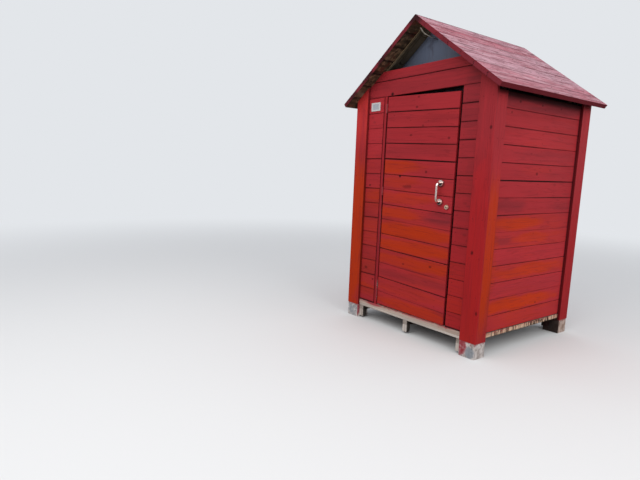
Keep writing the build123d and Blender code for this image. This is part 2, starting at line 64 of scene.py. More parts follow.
Piece = bpy.types.Object
Finish = bpy.types.Material
Socket = bpy.types.NodeSocket
Value = float | int | tuple | str | Socket
Inputs = dict[str | int, Value]
Colour = tuple[float, float, float, float]
Triple = tuple[float, float, float]
Row = tuple[float, float, float, float, float]
ZERO: Triple = (0.0, 0.0, 0.0)

# The turn that lays a front-facing board or nail flat, its face up
FACE_UP: Triple = (-math.pi / 2, 0.0, 0.0)


class BoardSide(Enum):
    """Which side of a board a face belongs to."""

    FACE = 0
    EDGE = 1
    BACK = 2
    END = 3


class GrainSource(Enum):
    """Where a material reads the direction of its grain."""

    BOARD = "grain"
    ALONG_X = "x"
    ALONG_Y = "y"
    ALONG_Z = "z"


def colour(code: str) -> Colour:
    """A linear colour from its screen value.

    Args:
        code: Six hexadecimal digits after a #.

    Returns:
        Red, green, blue and alpha, linear.
    """
    parts = [int(code[i : i + 2], 16) / 255 for i in (1, 3, 5)]
    linear = [p / 12.92 if p <= 0.04045 else ((p + 0.055) / 1.055) ** 2.4 for p in parts]
    return (linear[0], linear[1], linear[2], 1.0)


@dataclass(frozen=True)
class Patch:
    """A soft-edged area of a finish, in the hut's own coordinates."""

    centre: Triple
    reach: Triple
    amount: float = 1.0
    ragged: bool = True


def on_front(*rows: Row, ragged: bool = True) -> tuple[Patch, ...]:
    """Areas on the front of the hut.

    Args:
        rows: Each area's x and z, half its width, half its height, and its amount.
        ragged: Whether their outlines are.

    Returns:
        The areas.
    """
    return tuple(
        Patch((x, FRONT_Y, z), (wide, AREA_DEPTH, tall), amount, ragged) for x, z, wide, tall, amount in rows
    )


def on_right(*rows: Row, ragged: bool = True) -> tuple[Patch, ...]:
    """Areas on the right side of the hut.

    Args:
        rows: Each area's y and z, half its width, half its height, and its amount.
        ragged: Whether their outlines are.

    Returns:
        The areas.
    """
    return tuple(
        Patch((RIGHT_X, y, z), (AREA_DEPTH, wide, tall), amount, ragged) for y, z, wide, tall, amount in rows
    )


class Wiring:
    """A node tree with short calls that add and join its nodes."""

    def __init__(self, tree: bpy.types.NodeTree) -> None:
        """Keeps the tree that the calls add to."""
        self.tree = tree

    def feed(self, socket: Socket, value: Value) -> None:
        """Joins a socket to another, or sets its number, colour or name.

        Args:
            socket: The input to fill.
            value: A socket to link from, or a plain value.
        """
        if isinstance(value, bpy.types.NodeSocket):
            self.tree.links.new(value, socket)
        else:
            socket.default_value = value

    def node(self, kind: str, inputs: Inputs | None = None, **settings: Any) -> bpy.types.Node:
        """Adds a node.

        Args:
            kind: Blender's name of the node type.
            inputs: Values by input name or index; a name means the first input in use that has it.
            settings: The node's own settings.

        Returns:
            The new node.
        """
        made = self.tree.nodes.new(kind)
        for key, value in settings.items():
            setattr(made, key, value)
        for key, value in (inputs or {}).items():
            if isinstance(key, int):
                self.feed(made.inputs[key], value)
            else:
                self.feed(next(s for s in made.inputs if s.name == key and s.enabled), value)
        return made

    def out(self, kind: str, inputs: Inputs, **settings: Any) -> Socket:
        """Adds a node and gives its first output."""
        return self.node(kind, inputs, **settings).outputs[0]

    def math(self, operation: str, a: Value, b: Value = 0.0) -> Socket:
        """One sum on two numbers."""
        return self.out("ShaderNodeMath", {0: a, 1: b}, operation=operation)

    def plus(self, a: Value, b: Value) -> Socket:
        """Two numbers added."""
        return self.math("ADD", a, b)

    def times(self, a: Value, b: Value) -> Socket:
        """Two numbers multiplied."""
        return self.math("MULTIPLY", a, b)

    def swing(self, value: Socket, size: float) -> Socket:
        """A value from 0 to 1, turned into one that swings round 0 by plus or minus half the size."""
        return self.times(self.math("SUBTRACT", value, 0.5), size)

    def vector(self, operation: str, a: Value, b: Value = ZERO) -> Socket:
        """One sum on two vectors."""
        return self.out("ShaderNodeVectorMath", {0: a, 1: b}, operation=operation)

    def scaled(self, vector: Value, amount: Value) -> Socket:
        """A vector or a colour times a number."""
        return self.out("ShaderNodeVectorMath", {0: vector, 3: amount}, operation="SCALE")

    def parts(self, vector: Socket) -> Any:
        """The three numbers of a vector."""
        return self.node("ShaderNodeSeparateXYZ", {0: vector}).outputs

    def noise(self, place: Socket, scale: float, detail: float = 3.0) -> Socket:
        """Noise from 0 to 1 at a place."""
        return self.out("ShaderNodeTexNoise", {"Vector": place, "Scale": scale, "Detail": detail})


class Shading(Wiring):
    """A material's node tree, with the colour that its coats build up."""

    def __init__(self, name: str) -> None:
        """Starts an empty material.

        Args:
            name: The material's name.
        """
        self.material = bpy.data.materials.new(name)
        self.material.use_nodes = True
        super().__init__(self.material.node_tree)
        self.tree.nodes.clear()
        self.place = self.node("ShaderNodeTexCoord").outputs["Object"]
        self.pushed: Socket | None = None
        self.base: Value = (0.0, 0.0, 0.0, 1.0)

    def loose(self) -> Socket:
        """Pushes places about by noise, so that a patch drawn on them has a ragged outline.

        Returns:
            The object's places, pushed.
        """
        if self.pushed is None:
            inputs: Inputs = {"Vector": self.place, "Scale": 5.0, "Detail": 4.0}
            drift = self.node("ShaderNodeTexNoise", inputs).outputs[1]
            centred = self.vector("SUBTRACT", drift, (0.5, 0.5, 0.5))
            push = self.vector("MULTIPLY", centred, (0.34, 0.34, 0.07))
            self.pushed = self.vector("ADD", self.place, push)
        return self.pushed

    def step(self, value: Value, low: float, high: float, most: float = 1.0) -> Socket:
        """A soft step from 0 at low to its most at high, either way round."""
        inputs: Inputs = {"Value": value, "From Min": low, "From Max": high, "To Max": most}
        return self.out("ShaderNodeMapRange", inputs, interpolation_type="SMOOTHSTEP")

    def mix(self, amount: Value, a: Value, b: Value) -> Socket:
        """Two colours mixed by an amount."""
        return self.node("ShaderNodeMix", {0: amount, 6: a, 7: b}, data_type="RGBA").outputs[2]

    def start(self, amount: Value, one: str, two: str) -> None:
        """Sets the first coat, of two colours mixed by an amount."""
        self.base = self.mix(amount, colour(one), colour(two))

    def coat(self, amount: Value, code: str) -> None:
        """Lays a colour over the coats so far, by an amount."""
        self.base = self.mix(amount, self.base, colour(code))

    def spots(self, areas: tuple[Patch, ...], code: str) -> None:
        """Lays a colour over the coats so far, in soft spots."""
        if areas:
            self.coat(self.patches(areas), code)

    def light(self, amount: Value) -> None:
        """Makes the coats so far lighter or darker."""
        self.base = self.scaled(self.base, amount)

    def lift(self, board: Socket, fibre: Socket, swing: float, low: float, share: float) -> Socket:
        """How light the timber is.

        Args:
            board: The board's own number.
            fibre: The noise of its fibres.
            swing: How far boards differ.
            low: The least lightness of the fibres.
            share: How much lighter they get.

        Returns:
            The factor for its colour.
        """
        tint = self.math("FRACT", self.times(board, 13.7))
        return self.plus(self.swing(tint, swing), self.plus(low, self.times(fibre, share)))

    def grain(self, source: GrainSource) -> tuple[Socket, Socket, Socket, Socket]:
        """The grain's own coordinates.

        Args:
            source: The board's stored coordinates, or the object axis that the timber runs along.

        Returns:
            A vector that runs along the grain with x, its depth and its across parts, and a number
            that differs from board to board.
        """
        if source is GrainSource.BOARD:
            stored = self.node("ShaderNodeAttribute", attribute_name="grain").outputs["Vector"]
            board = self.node("ShaderNodeAttribute", attribute_name="board").outputs["Fac"]
            ahead, aside = self.times(board, 37.0), self.times(board, 11.0)
            shift = self.out("ShaderNodeCombineXYZ", {0: ahead, 2: aside})
            _, depth, across = self.parts(stored)
            return self.vector("ADD", stored, shift), depth, across, board
        place = self.parts(self.place)
        order = {"x": (0, 1, 2), "y": (1, 0, 2), "z": (2, 1, 0)}[source.value]
        turned = self.out("ShaderNodeCombineXYZ", {i: place[axis] for i, axis in enumerate(order)})
        level = self.node("ShaderNodeValue").outputs[0]
        level.default_value = 0.5
        return turned, place[1], place[2], level

    def stretched(self, along: Socket, scale: Triple, detail: float = 3.0) -> Socket:
        """Noise drawn out along the grain."""
        return self.noise(self.vector("MULTIPLY", along, scale), 1.0, detail)

    def lines(self, along: Socket, scale: Triple, width: float, most: float = 1.0) -> Socket:
        """Thin lines that wander along the grain."""
        away = self.math("ABSOLUTE", self.math("SUBTRACT", self.stretched(along, scale, 2.0), 0.5))
        return self.step(away, width, width * 0.25, most)

    def height(self) -> Socket:
        """Height above the ground."""
        return self.parts(self.place)[2]

    def length(self, vector: Socket) -> Socket:
        """A vector's length."""
        return self.node("ShaderNodeVectorMath", {0: vector}, operation="LENGTH").outputs["Value"]

    def patch(self, area: Patch) -> Socket:
        """A soft spot.

        Args:
            area: Where it is.

        Returns:
            The patch's amount at its centre, and 0 past its reach.
        """
        place = self.loose() if area.ragged else self.place
        away = self.vector("DIVIDE", self.vector("SUBTRACT", place, area.centre), area.reach)
        return self.step(self.length(away), 1.0, 0.35, area.amount)

    def patches(self, areas: tuple[Patch, ...]) -> Socket:
        """Several soft spots.

        Args:
            areas: Where they are.

        Returns:
            The strongest at each place.
        """
        found = self.patch(areas[0])
        for area in areas[1:]:
            found = self.math("MAXIMUM", found, self.patch(area))
        return found

    def knots(self, along: Socket, density: tuple[float, float], size: float) -> Socket:
        """Knots scattered on the face of the timber.

        Args:
            along: The grain's coordinates.
            density: Cells in a metre along and across the grain.
            size: Radius of a knot, as a share of a cell.

        Returns:
            1 inside a knot, 0 away from it.
        """
        flat = self.vector("MULTIPLY", along, (density[0], 0.0, density[1]))
        cells = self.node("ShaderNodeTexVoronoi", {"Vector": flat, "Scale": 1.0}).outputs
        picked = self.step(cells["Color"], 0.45, 0.5)
        return self.times(self.step(cells["Distance"], size, size * 0.45), picked)

    def finish(self, inputs: Inputs, height: Socket, depth: float) -> Finish:
        """Ends the material in a surface shader of the coats' colour.

        Args:
            inputs: The shader's other inputs by name.
            height: Height of the surface's relief, from 0 to 1.
            depth: Depth of that relief in metres.

        Returns:
            The finished material.
        """
        bump = self.out("ShaderNodeBump", {"Height": height, "Strength": 0.6, "Distance": depth})
        surface = self.out("ShaderNodeBsdfPrincipled", {"Base Color": self.base, "Normal": bump, **inputs})
        self.node("ShaderNodeOutputMaterial", {"Surface": surface})
        return self.material


@dataclass(frozen=True)
class RedStain:
    """Red wood stain, crimson with orange areas, on boards or on plain timbers."""

    name: str
    source: GrainSource = GrainSource.BOARD
    cool: str = "#a4292f"
    warm: str = "#b0300a"
    dark: str = "#6e1a20"
    stain_and_painted_light: str = "#3a0b10"
    joint: str = "#4c1116"
    spread: float = 0.28
    drift: float = 0.55
    soot: float = 0.4
    half_cover: float = 0.0
    warm_areas: tuple[Patch, ...] = ()
    deep_areas: tuple[Patch, ...] = ()
    bright_areas: tuple[Patch, ...] = ()
    dull_and_shade_areas: tuple[Patch, ...] = ()
    stain_and_painted_light_areas: tuple[Patch, ...] = ()
    knots: tuple[Patch, ...] = ()
    open_joints: tuple[Patch, ...] = ()
    worn: tuple[Patch, ...] = ()

    def material(self) -> Finish:
        """Builds the finish.

        Returns:
            The new material.
        """
        s = Shading(self.name)
        along, depth, across, board = s.grain(self.source)
        streak = s.stretched(along, (1.6, 26.0, 26.0), 5.0)
        fibre = s.stretched(along, (7.0, 240.0, 240.0))
        warmth = s.plus(s.swing(board, self.spread), s.swing(s.noise(s.place, 1.7, 2.0), self.drift))
        warmth = s.plus(warmth, s.swing(streak, 0.5))
        if self.warm_areas:
            warmth = s.plus(warmth, s.patches(self.warm_areas))
        s.start(s.step(warmth, 0.02, 0.95), self.cool, self.warm)
        s.spots(self.deep_areas, "#a3181b")
        s.coat(s.step(s.stretched(along, (1.1, 7.0, 7.0)), 0.48, 0.78, 0.36), self.dark)
        s.coat(s.lines(along, (1.3, 30.0, 30.0), 0.022, 0.3), self.dark)
        # Dulled areas of the stain, some of them painted shade under the eaves and the roof's overhang.
        if self.dull_and_shade_areas:
            s.coat(s.times(s.patches(self.dull_and_shade_areas), s.step(streak, 0.15, 0.6, 0.72)), "#65232a")
        s.coat(s.times(s.knots(along, (2.3, 4.4), 0.036), 0.8), "#44080d")
        s.coat(s.times(s.knots(along, (3.1, 5.3), 0.09), 0.32), "#5f1a1c")
        s.spots(self.knots, "#37080b")
        lift = s.lift(board, fibre, 0.09, 0.87, 0.28)
        if self.bright_areas:
            lift = s.plus(lift, s.patches(self.bright_areas))
        s.light(lift)
        if self.worn:
            flaked = s.step(s.noise(s.place, 90.0, 4.0), 0.40, 0.52)
            s.coat(s.times(s.patches(self.worn), flaked), "#b39f98")
        # Spots of one dark colour: painted shade in recesses, under the eaves and round the door's fittings,
        # and darker areas of the roof's edges.
        s.spots(self.stain_and_painted_light_areas, self.stain_and_painted_light)
        if self.half_cover:
            self.joints(s, depth, s.math("ABSOLUTE", across))
        rough = s.plus(0.50, s.times(streak, 0.24))
        relief = s.plus(s.times(fibre, 0.5), s.times(streak, 0.5))
        return s.finish({"Roughness": rough, "Specular IOR Level": 0.12}, relief, 0.0014)

    def joints(self, s: Shading, depth: Socket, edge: Socket) -> None:
        """Darkens the boards' edges, more where a joint stands open.

        Args:
            s: The material's tree.
            depth: Depth behind the board's face.
            edge: Distance from the board's middle line.
        """
        varied = s.step(s.noise(s.place, 2.6), 0.35, 0.65, self.soot)
        s.coat(s.times(s.step(edge, self.half_cover - 0.011, self.half_cover - 0.0005), varied), "#4a0f14")
        inside: Value = colour(self.joint)
        if self.open_joints:
            opened = s.patches(self.open_joints)
            rim = s.step(edge, self.half_cover - 0.0050, self.half_cover - 0.0022)
            s.coat(s.times(rim, opened), "#160405")
            inside = s.mix(opened, inside, colour("#120304"))
        s.base = s.mix(s.step(depth, 0.0012, 0.0042, 0.95), s.base, inside)


@dataclass(frozen=True)
class Streaks:
    """A colour in streaks along the grain, where their noise is strong."""

    code: str
    scale: Triple
    detail: float
    low: float
    high: float
    amount: float

    def lay(self, s: Shading, along: Socket) -> None:
        """Lays them over a material's coats so far."""
        found = s.stretched(along, self.scale, self.detail)
        s.coat(s.step(found, self.low, self.high, self.amount), self.code)


@dataclass(frozen=True)
class FadedRoof:
    """The sun-bleached upper face of the roof boards, with checks along the grain."""

    name: str
    half_cover: float
    ridge: float = 2.655
    grey: Streaks = Streaks("#b99da3", (1.4, 34.0, 34.0), 5.0, 0.46, 0.66, 0.6)
    rosy: Streaks = Streaks("#9a3d4a", (2.4, 52.0, 52.0), 4.0, 0.54, 0.66, 0.65)
    dashes: Streaks = Streaks("#76343f", (5.5, 72.0, 72.0), 4.0, 0.55, 0.62, 0.72)
    glints: Streaks = Streaks("#d6b2b9", (4.5, 62.0, 62.0), 3.0, 0.55, 0.63, 0.4)
    checks: Streaks = Streaks("#6a323a", (9.0, 330.0, 330.0), 2.0, 0.62, 0.70, 0.7)

    def material(self) -> Finish:
        """Builds the finish.

        Returns:
            The new material.
        """
        s = Shading(self.name)
        along, depth, across, board = s.grain(GrainSource.BOARD)
        drift = s.stretched(along, (0.9, 9.0, 9.0), 4.0)
        fibre = s.stretched(along, (6.0, 190.0, 190.0), 4.0)
        s.start(s.step(s.plus(s.times(board, 0.4), s.times(drift, 0.6)), 0.25, 0.75), "#aa5a66", "#be8e98")
        for streaks in (self.grey, self.rosy, self.dashes):
            streaks.lay(s, along)
        self.glints.lay(s, s.vector("ADD", along, (3.0, 7.0, 5.0)))
        cracks = self.cracks(s, along)
        s.coat(s.times(cracks, 0.8), "#4e1f28")
        self.checks.lay(s, along)
        s.coat(s.times(s.knots(along, (2.4, 5.0), 0.06), 0.8), "#5c2831")
        rim = s.step(s.math("ABSOLUTE", across), self.half_cover - 0.014, self.half_cover - 0.002)
        s.coat(s.times(rim, s.step(s.stretched(along, (3.0, 3.0, 3.0), 4.0), 0.36, 0.62, 0.9)), "#642733")
        s.coat(s.step(depth, 0.0012, 0.0045, 0.92), "#22090c")
        s.spots((Patch((0.0, 0.0, self.ridge), (0.014, 5.0, 0.05), 0.75, False),), "#4d2129")
        s.coat(s.step(s.height(), 2.42, 2.14, 0.14), "#b79aa1")
        s.light(s.lift(board, fibre, 0.14, 0.86, 0.3))
        inputs: Inputs = {"Roughness": 0.8, "Specular IOR Level": 0.2}
        return s.finish(inputs, s.math("SUBTRACT", fibre, cracks), 0.0022)

    def cracks(self, s: Shading, along: Socket) -> Socket:
        """Coarse and fine cracks along the grain, broken off in places.

        Args:
            s: The material's tree.
            along: The grain's coordinates.

        Returns:
            1 inside a crack, 0 away from it.
        """
        broken = s.step(s.stretched(along, (5.0, 16.0, 16.0)), 0.41, 0.53)
        coarse, fine = s.lines(along, (1.2, 30.0, 30.0), 0.016), s.lines(along, (2.2, 64.0, 64.0), 0.022)
        return s.times(s.math("MAXIMUM", coarse, fine), broken)


@dataclass(frozen=True)
class BareTimber:
    """Unpainted softwood, fresh or weathered, with knots, a mist of red from the walls, and spots of one
    colour for red stain, painted shade and painted light.
    """

    name: str
    source: GrainSource
    light: str = "#9a7a5c"
    dark: str = "#5b4330"
    grey: str = "#7c7268"
    greying: float = 0.3
    mist_from: float | None = None
    mist_reach: float = 0.03
    stain_and_painted_light: str = "#17090a"
    stain_and_painted_light_areas: tuple[Patch, ...] = ()
    pale_areas: tuple[Patch, ...] = ()
    painted_highlight_above: float | None = None
    blotched: float = 0.0
    half_cover: float = 0.0
    painted_shade_within: float | None = None

    def material(self) -> Finish:
        """Builds the finish.

        Returns:
            The new material.
        """
        s = Shading(self.name)
        along, _, across, board = s.grain(self.source)
        fibre = s.stretched(along, (6.0, 240.0, 240.0))
        s.start(s.step(s.stretched(along, (1.3, 34.0, 34.0), 5.0), 0.35, 0.68), self.light, self.dark)
        worn = s.plus(s.noise(s.place, 3.1, 4.0), s.swing(board, 0.3))
        s.coat(s.step(worn, 0.35, 0.62, self.greying), self.grey)
        s.coat(s.lines(along, (1.6, 60.0, 60.0), 0.02, 0.4), self.dark)
        s.coat(s.times(s.knots(along, (2.2, 4.2), 0.07), 0.75), "#3a2418")
        if self.blotched:
            self.blotches(s)
        s.light(s.lift(board, fibre, 0.24, 0.80, 0.38))
        if self.half_cover:
            edge = s.math("ABSOLUTE", across)
            s.coat(s.step(edge, self.half_cover - 0.01, self.half_cover - 0.002, 0.75), "#1d130e")
        s.spots(self.pale_areas, "#93866f")
        # A painted highlight: a pale line along the timber's upper edge, just under the roof boards.
        if self.painted_highlight_above is not None:
            away = s.math("ABSOLUTE", s.parts(s.place)[0])
            slope = s.plus(s.height(), s.times(away, math.tan(ROOF_PITCH)))
            s.coat(s.step(slope, self.painted_highlight_above - 0.004, self.painted_highlight_above, 0.9), "#a08566")
        # Spots of one colour: red stain on the sill, painted shade in the doorway and the eave gaps, painted
        # light on the roof's underside behind the gable, and a darker end of the peeled strip.
        s.spots(self.stain_and_painted_light_areas, self.stain_and_painted_light)
        # Painted shade: the timber darkened everywhere behind its front end, under the floor.
        if self.painted_shade_within is not None:
            away = s.math("ABSOLUTE", s.parts(s.place)[1])
            s.coat(s.step(away, self.painted_shade_within, self.painted_shade_within - 0.006, 0.9), "#1c1410")
        if self.mist_from is not None:
            level = s.plus(s.height(), s.swing(s.noise(s.place, 24.0, 4.0), 0.09))
            mist = s.step(level, self.mist_from - self.mist_reach, self.mist_from)
            speck = s.step(s.noise(s.place, 130.0, 2.0), 0.40, 0.58)
            s.coat(s.times(s.times(mist, speck), 0.85), "#9c3235")
        return s.finish({"Roughness": 0.8, "Specular IOR Level": 0.2}, fibre, 0.0014)

    def blotches(self, s: Shading) -> None:
        """Lays dark, red and pale blotches over a material's coats so far.

        Args:
            s: The material's tree.
        """
        for code, scale, detail, low, high in (
            ("#231511", 17.0, 4.0, 0.52, 0.62),
            ("#6e3028", 11.0, 5.0, 0.54, 0.64),
            ("#a08468", 23.0, 4.0, 0.55, 0.63),
        ):
            s.coat(s.step(s.noise(s.place, scale, detail), low, high, self.blotched), code)


@dataclass(frozen=True)
class EndGrain:
    """Weathered board ends under the side walls: streaked, split in places, spattered with red."""

    name: str
    top: float
    split: Patch

    def material(self) -> Finish:
        """Builds the finish.

        Returns:
            The new material.
        """
        s = Shading(self.name)
        streak = s.stretched(s.place, (1.0, 78.0, 9.0), 4.0)
        s.start(s.step(streak, 0.50, 0.60), "#dcb99b", "#44291d")
        s.coat(s.step(s.noise(s.place, 8.0, 4.0), 0.44, 0.64, 0.5), "#ab6858")
        gap = s.step(s.stretched(s.place, (1.0, 55.0, 38.0)), 0.46, 0.58)
        s.coat(s.times(gap, s.patch(self.split)), "#1f120d")
        level = s.plus(s.height(), s.swing(s.noise(s.place, 30.0, 4.0), 0.05))
        speck = s.step(s.noise(s.place, 105.0, 2.0), 0.46, 0.58, 0.85)
        s.coat(s.times(s.step(level, self.top - 0.024, self.top), speck), "#a83a3c")
        s.coat(s.step(s.height(), self.top - 0.030, self.top - 0.036, 0.7), "#2c1d15")
        return s.finish({"Roughness": 0.85, "Specular IOR Level": 0.2}, streak, 0.002)


@dataclass(frozen=True)
class FootPaint:
    """A whitish foot block with a grey primed patch, red run-off from the corner boards, checks, and spots
    of painted shade where given.
    """

    name: str
    primed: Patch
    red: Patch
    wash: float
    pale: str = "#d3cac4"
    dull: str = "#a89c95"
    stain_and_painted_light: tuple[Patch, ...] = ()

    def material(self) -> Finish:
        """Builds the finish.

        Returns:
            The new material.
        """
        s = Shading(self.name)
        along = s.grain(GrainSource.ALONG_Z)[0]
        fibre = s.stretched(along, (9.0, 160.0, 160.0), 4.0)
        s.start(s.step(s.noise(s.place, 21.0, 5.0), 0.38, 0.66), self.pale, self.dull)
        checks = s.lines(along, (5.0, 46.0, 46.0), 0.026, 0.45)
        s.coat(checks, "#5b504a")
        wobble = s.noise(s.place, 42.0, 4.0)
        spread = s.plus(s.patch(self.primed), s.swing(wobble, 1.2))
        spread = s.plus(spread, s.swing(s.noise(s.place, 120.0, 2.0), 0.5))
        s.coat(s.step(spread, 0.20, 0.85, 0.85), "#848b91")
        red = s.patch(self.red)
        s.coat(s.times(s.step(s.plus(red, s.swing(wobble, 0.8)), 0.2, 0.7), self.wash), "#a4565e")
        top = s.step(s.plus(s.height(), s.swing(wobble, 0.07)), 0.090, 0.124, 0.7)
        run = s.math("MAXIMUM", top, s.times(red, s.step(wobble, 0.3, 0.6)))
        speck = s.step(s.plus(s.noise(s.place, 60.0, 4.0), s.times(run, 0.5)), 0.62, 0.80)
        s.coat(s.times(speck, s.times(run, 0.85)), "#963038")
        s.coat(s.step(s.noise(s.place, 85.0, 1.0), 0.70, 0.76, 0.7), "#3f3532")
        s.light(s.plus(0.88, s.times(fibre, 0.30)))
        # Painted shade on the front faces of the rear feet, under the floor.
        s.spots(self.stain_and_painted_light, "#1d0f0f")
        relief = s.math("SUBTRACT", fibre, checks)
        return s.finish({"Roughness": 0.82, "Specular IOR Level": 0.2}, relief, 0.002)


@dataclass(frozen=True)
class GreySheet:
    """The flat grey-blue sheet that closes the gable, with a faint brown run from its peak."""

    name: str = "gable_sheet"
    peak: float = 2.5

    def material(self) -> Finish:
        """Builds the finish.

        Returns:
            The new material.
        """
        s = Shading(self.name)
        s.start(s.step(s.noise(s.place, 3.4, 4.0), 0.3, 0.7), "#5d6678", "#686c7c")
        # Painted light: the sheet lightened towards the peak, where the roof shades it.
        s.light(s.plus(1.0, s.step(s.height(), 2.29, 2.55, 1.25)))
        s.spots((Patch((-0.03, -0.52, self.peak), (0.035, 0.3, 0.2), 0.35),), "#54434a")
        s.coat(s.lines(s.place, (34.0, 34.0, 1.5), 0.03, 0.25), "#4c5262")
        grit = s.noise(s.place, 240.0, 2.0)
        s.light(s.plus(0.93, s.times(grit, 0.14)))
        return s.finish({"Roughness": 0.6, "Specular IOR Level": 0.3}, grit, 0.0003)


@dataclass(frozen=True)
class BrightMetal:
    """Stainless steel or zinc, lightly brushed and dulled."""

    name: str
    tint: str
    dulling: float
    red_specks: float = 0.0
    bare_below: float = 0.42
    keyhole_and_shade: tuple[Patch, ...] = ()

    def material(self) -> Finish:
        """Builds the finish.

        Returns:
            The new material.
        """
        s = Shading(self.name)
        cloud = s.noise(s.place, 70.0, 4.0)
        s.start(s.step(cloud, 0.45, 0.75, self.dulling), self.tint, "#6f655e")
        # Dark spots: the lock's keyhole, and painted shade round the pull's roses.
        s.spots(self.keyhole_and_shade, "#1d1816")
        inputs: Inputs = {"Metallic": 1.0, "Roughness": s.plus(0.18, s.times(cloud, self.dulling))}
        if self.red_specks:
            rust = s.noise(s.place, 160.0, 2.0)
            speck = s.step(rust, self.bare_below, self.bare_below + 0.1, self.red_specks)
            s.coat(speck, "#8f2c30")
            inputs["Metallic"] = s.math("SUBTRACT", 1.0, speck)
        return s.finish(inputs, s.noise(s.place, 320.0, 2.0), 0.0006 * self.dulling)


@dataclass(frozen=True)
class PlateEnamel:
    """A white plate with a pale grey field."""

    name: str
    centre: Triple
    field_reach: tuple[float, float] = (0.034, 0.022)

    def material(self) -> Finish:
        """Builds the finish.

        Returns:
            The new material.
        """
        s = Shading(self.name)
        place = s.parts(s.vector("SUBTRACT", s.place, self.centre))
        wide, tall = (
            s.step(s.math("ABSOLUTE", place[axis]), reach + 0.006, reach)
            for axis, reach in zip((0, 2), self.field_reach)
        )
        cloud = s.noise(s.place, 55.0, 4.0)
        field = s.times(s.times(wide, tall), s.plus(0.6, s.times(cloud, 0.6)))
        s.start(field, "#c9c6c4", "#a3a6ad")
        s.coat(s.step(cloud, 0.6, 0.75, 0.3), "#8b7f7c")
        return s.finish({"Roughness": 0.42}, cloud, 0.0003)


@dataclass(frozen=True)
class PaleFloor:
    """The plain floor: it melts into the background far from the hut and lights it from below."""

    backdrop: str
    name: str = "pale_floor"
    tone: str = "#dcdbd8"
    bounce: str = "#8f8984"
    melt: tuple[float, float] = (3.5, 11.0)

    def material(self) -> Finish:
        """Builds the finish.

        Returns:
            The new material.
        """
        s = Shading(self.name)
        seen = s.node("ShaderNodeLightPath").outputs["Is Camera Ray"]
        s.start(seen, self.bounce, self.tone)
        inputs: Inputs = {"Base Color": s.base, "Roughness": 0.9, "Specular IOR Level": 0.1}
        floor = s.out("ShaderNodeBsdfPrincipled", inputs)
        far = s.times(s.step(s.length(s.place), *self.melt), seen)
        sky = s.out("ShaderNodeEmission", {"Color": colour(self.backdrop), "Strength": 1.0})
        both = s.out("ShaderNodeMixShader", {0: far, 1: floor, 2: sky})
        s.node("ShaderNodeOutputMaterial", {"Surface": both})
        return s.material


def placed(name: str, data: bpy.types.ID) -> Piece:
    """Puts a mesh, a lamp or a camera in the scene.

    Args:
        name: The object's name.
        data: What it shows.

    Returns:
        The object.
    """
    made = bpy.data.objects.new(name, data)
    bpy.context.scene.collection.objects.link(made)
    return made


def tube(name: str, loops: list[list[Triple]], sides: tuple[BoardSide, ...] = ()) -> Piece:
    """A closed solid with flat ends, drawn through loops of points.

    Args:
        name: Its name.
        loops: The loops, all with as many points.
        sides: For a board, the side that starts at each point of a loop.

    Returns:
        The solid; a board's faces keep their side as a number.
    """
    bm = bmesh.new()
    layer = bm.faces.layers.int.new("side") if sides else None
    rings = [[bm.verts.new(place) for place in loop] for loop in loops]
    for one, two in pairwise(rings):
        for i in range(len(one)):
            j = (i + 1) % len(one)
            face = bm.faces.new((one[i], one[j], two[j], two[i]))
            if sides:
                face[layer] = sides[i].value
    for ring in (rings[0], rings[-1]):
        face = bm.faces.new(ring)
        if sides:
            face[layer] = BoardSide.END.value
    bmesh.ops.recalc_face_normals(bm, faces=bm.faces)
    mesh = bpy.data.meshes.new(name)
    bm.to_mesh(mesh)
    bm.free()
    return placed(name, mesh)


@dataclass(frozen=True)
class BoardShape:
    """One board as a closed solid: x along it, the outer face towards -y, z across it."""

    length: float
    cover: float
    thickness: float
    gap: float
    arris: float = 0.003
    tongue: float = 0.007
    tongue_span: tuple[float, float] = (0.36, 0.62)
    groove_span: tuple[float, float] = (0.33, 0.65)
    groove_play: float = 0.002
    step: float = 0.09

    def arc(self, level: float, turns: tuple[float, ...], way: int) -> list[tuple[float, float, BoardSide]]:
        """Points of a rounded arris.

        Args:
            level: Height where it starts on the face.
            turns: Angles of its points.
            way: 1 for the upper arris, -1 for the lower.

        Returns:
            Depth, height and side of each point.
        """
        angles = [math.radians(turn) for turn in turns]
        r = self.arris
        return [(r * (1 - math.cos(a)), level + way * r * math.sin(a), BoardSide.FACE) for a in angles]

    def profile(self) -> list[tuple[float, float, BoardSide]]:
        """The board's section.

        Returns:
            Points of depth and height, each with the side that starts there.
        """
        half = (self.cover - self.gap) / 2
        t, r = self.thickness, self.arris
        points = [(0.0, share * (half - r), BoardSide.FACE) for share in (-1.0, -0.5, 0.0, 0.5)]
        points += self.arc(half - r, (0.0, 30.0, 60.0), 1)
        points.append((r, half, BoardSide.EDGE))
        if self.tongue:
            tip = self.cover / 2 + self.tongue
            front, back = (share * t for share in self.tongue_span)
            tongue = ((front, half), (front, tip), (back, tip), (back, half))
            points += [(*point, BoardSide.EDGE) for point in tongue]
        points += [(t, half, BoardSide.BACK), (t, -half, BoardSide.EDGE)]
        if self.tongue:
            slot = -half + self.tongue + self.groove_play
            front, back = (share * t for share in self.groove_span)
            groove = ((back, -half), (back, slot), (front, slot), (front, -half))
            points += [(*point, BoardSide.EDGE) for point in groove]
        points.append((r, -half, BoardSide.FACE))
        return points + self.arc(-half + r, (60.0, 30.0), -1)

    def solid(self) -> Piece:
        """Builds the board.

        Returns:
            A mesh object with a "side" number on each face and its grain's place at each point.
        """
        points = self.profile()
        steps = max(2, round(self.length / self.step))
        stations = [self.length * (i / steps - 0.5) for i in range(steps + 1)]
        loops = [[(x, depth, height) for depth, height, _ in points] for x in stations]
        made = tube("one_board", loops, tuple(side for _, _, side in points))
        grain = made.data.attributes.new("grain", "FLOAT_VECTOR", "POINT")
        for vertex, kept in zip(made.data.vertices, grain.data):
            kept.vector = vertex.co
        return made


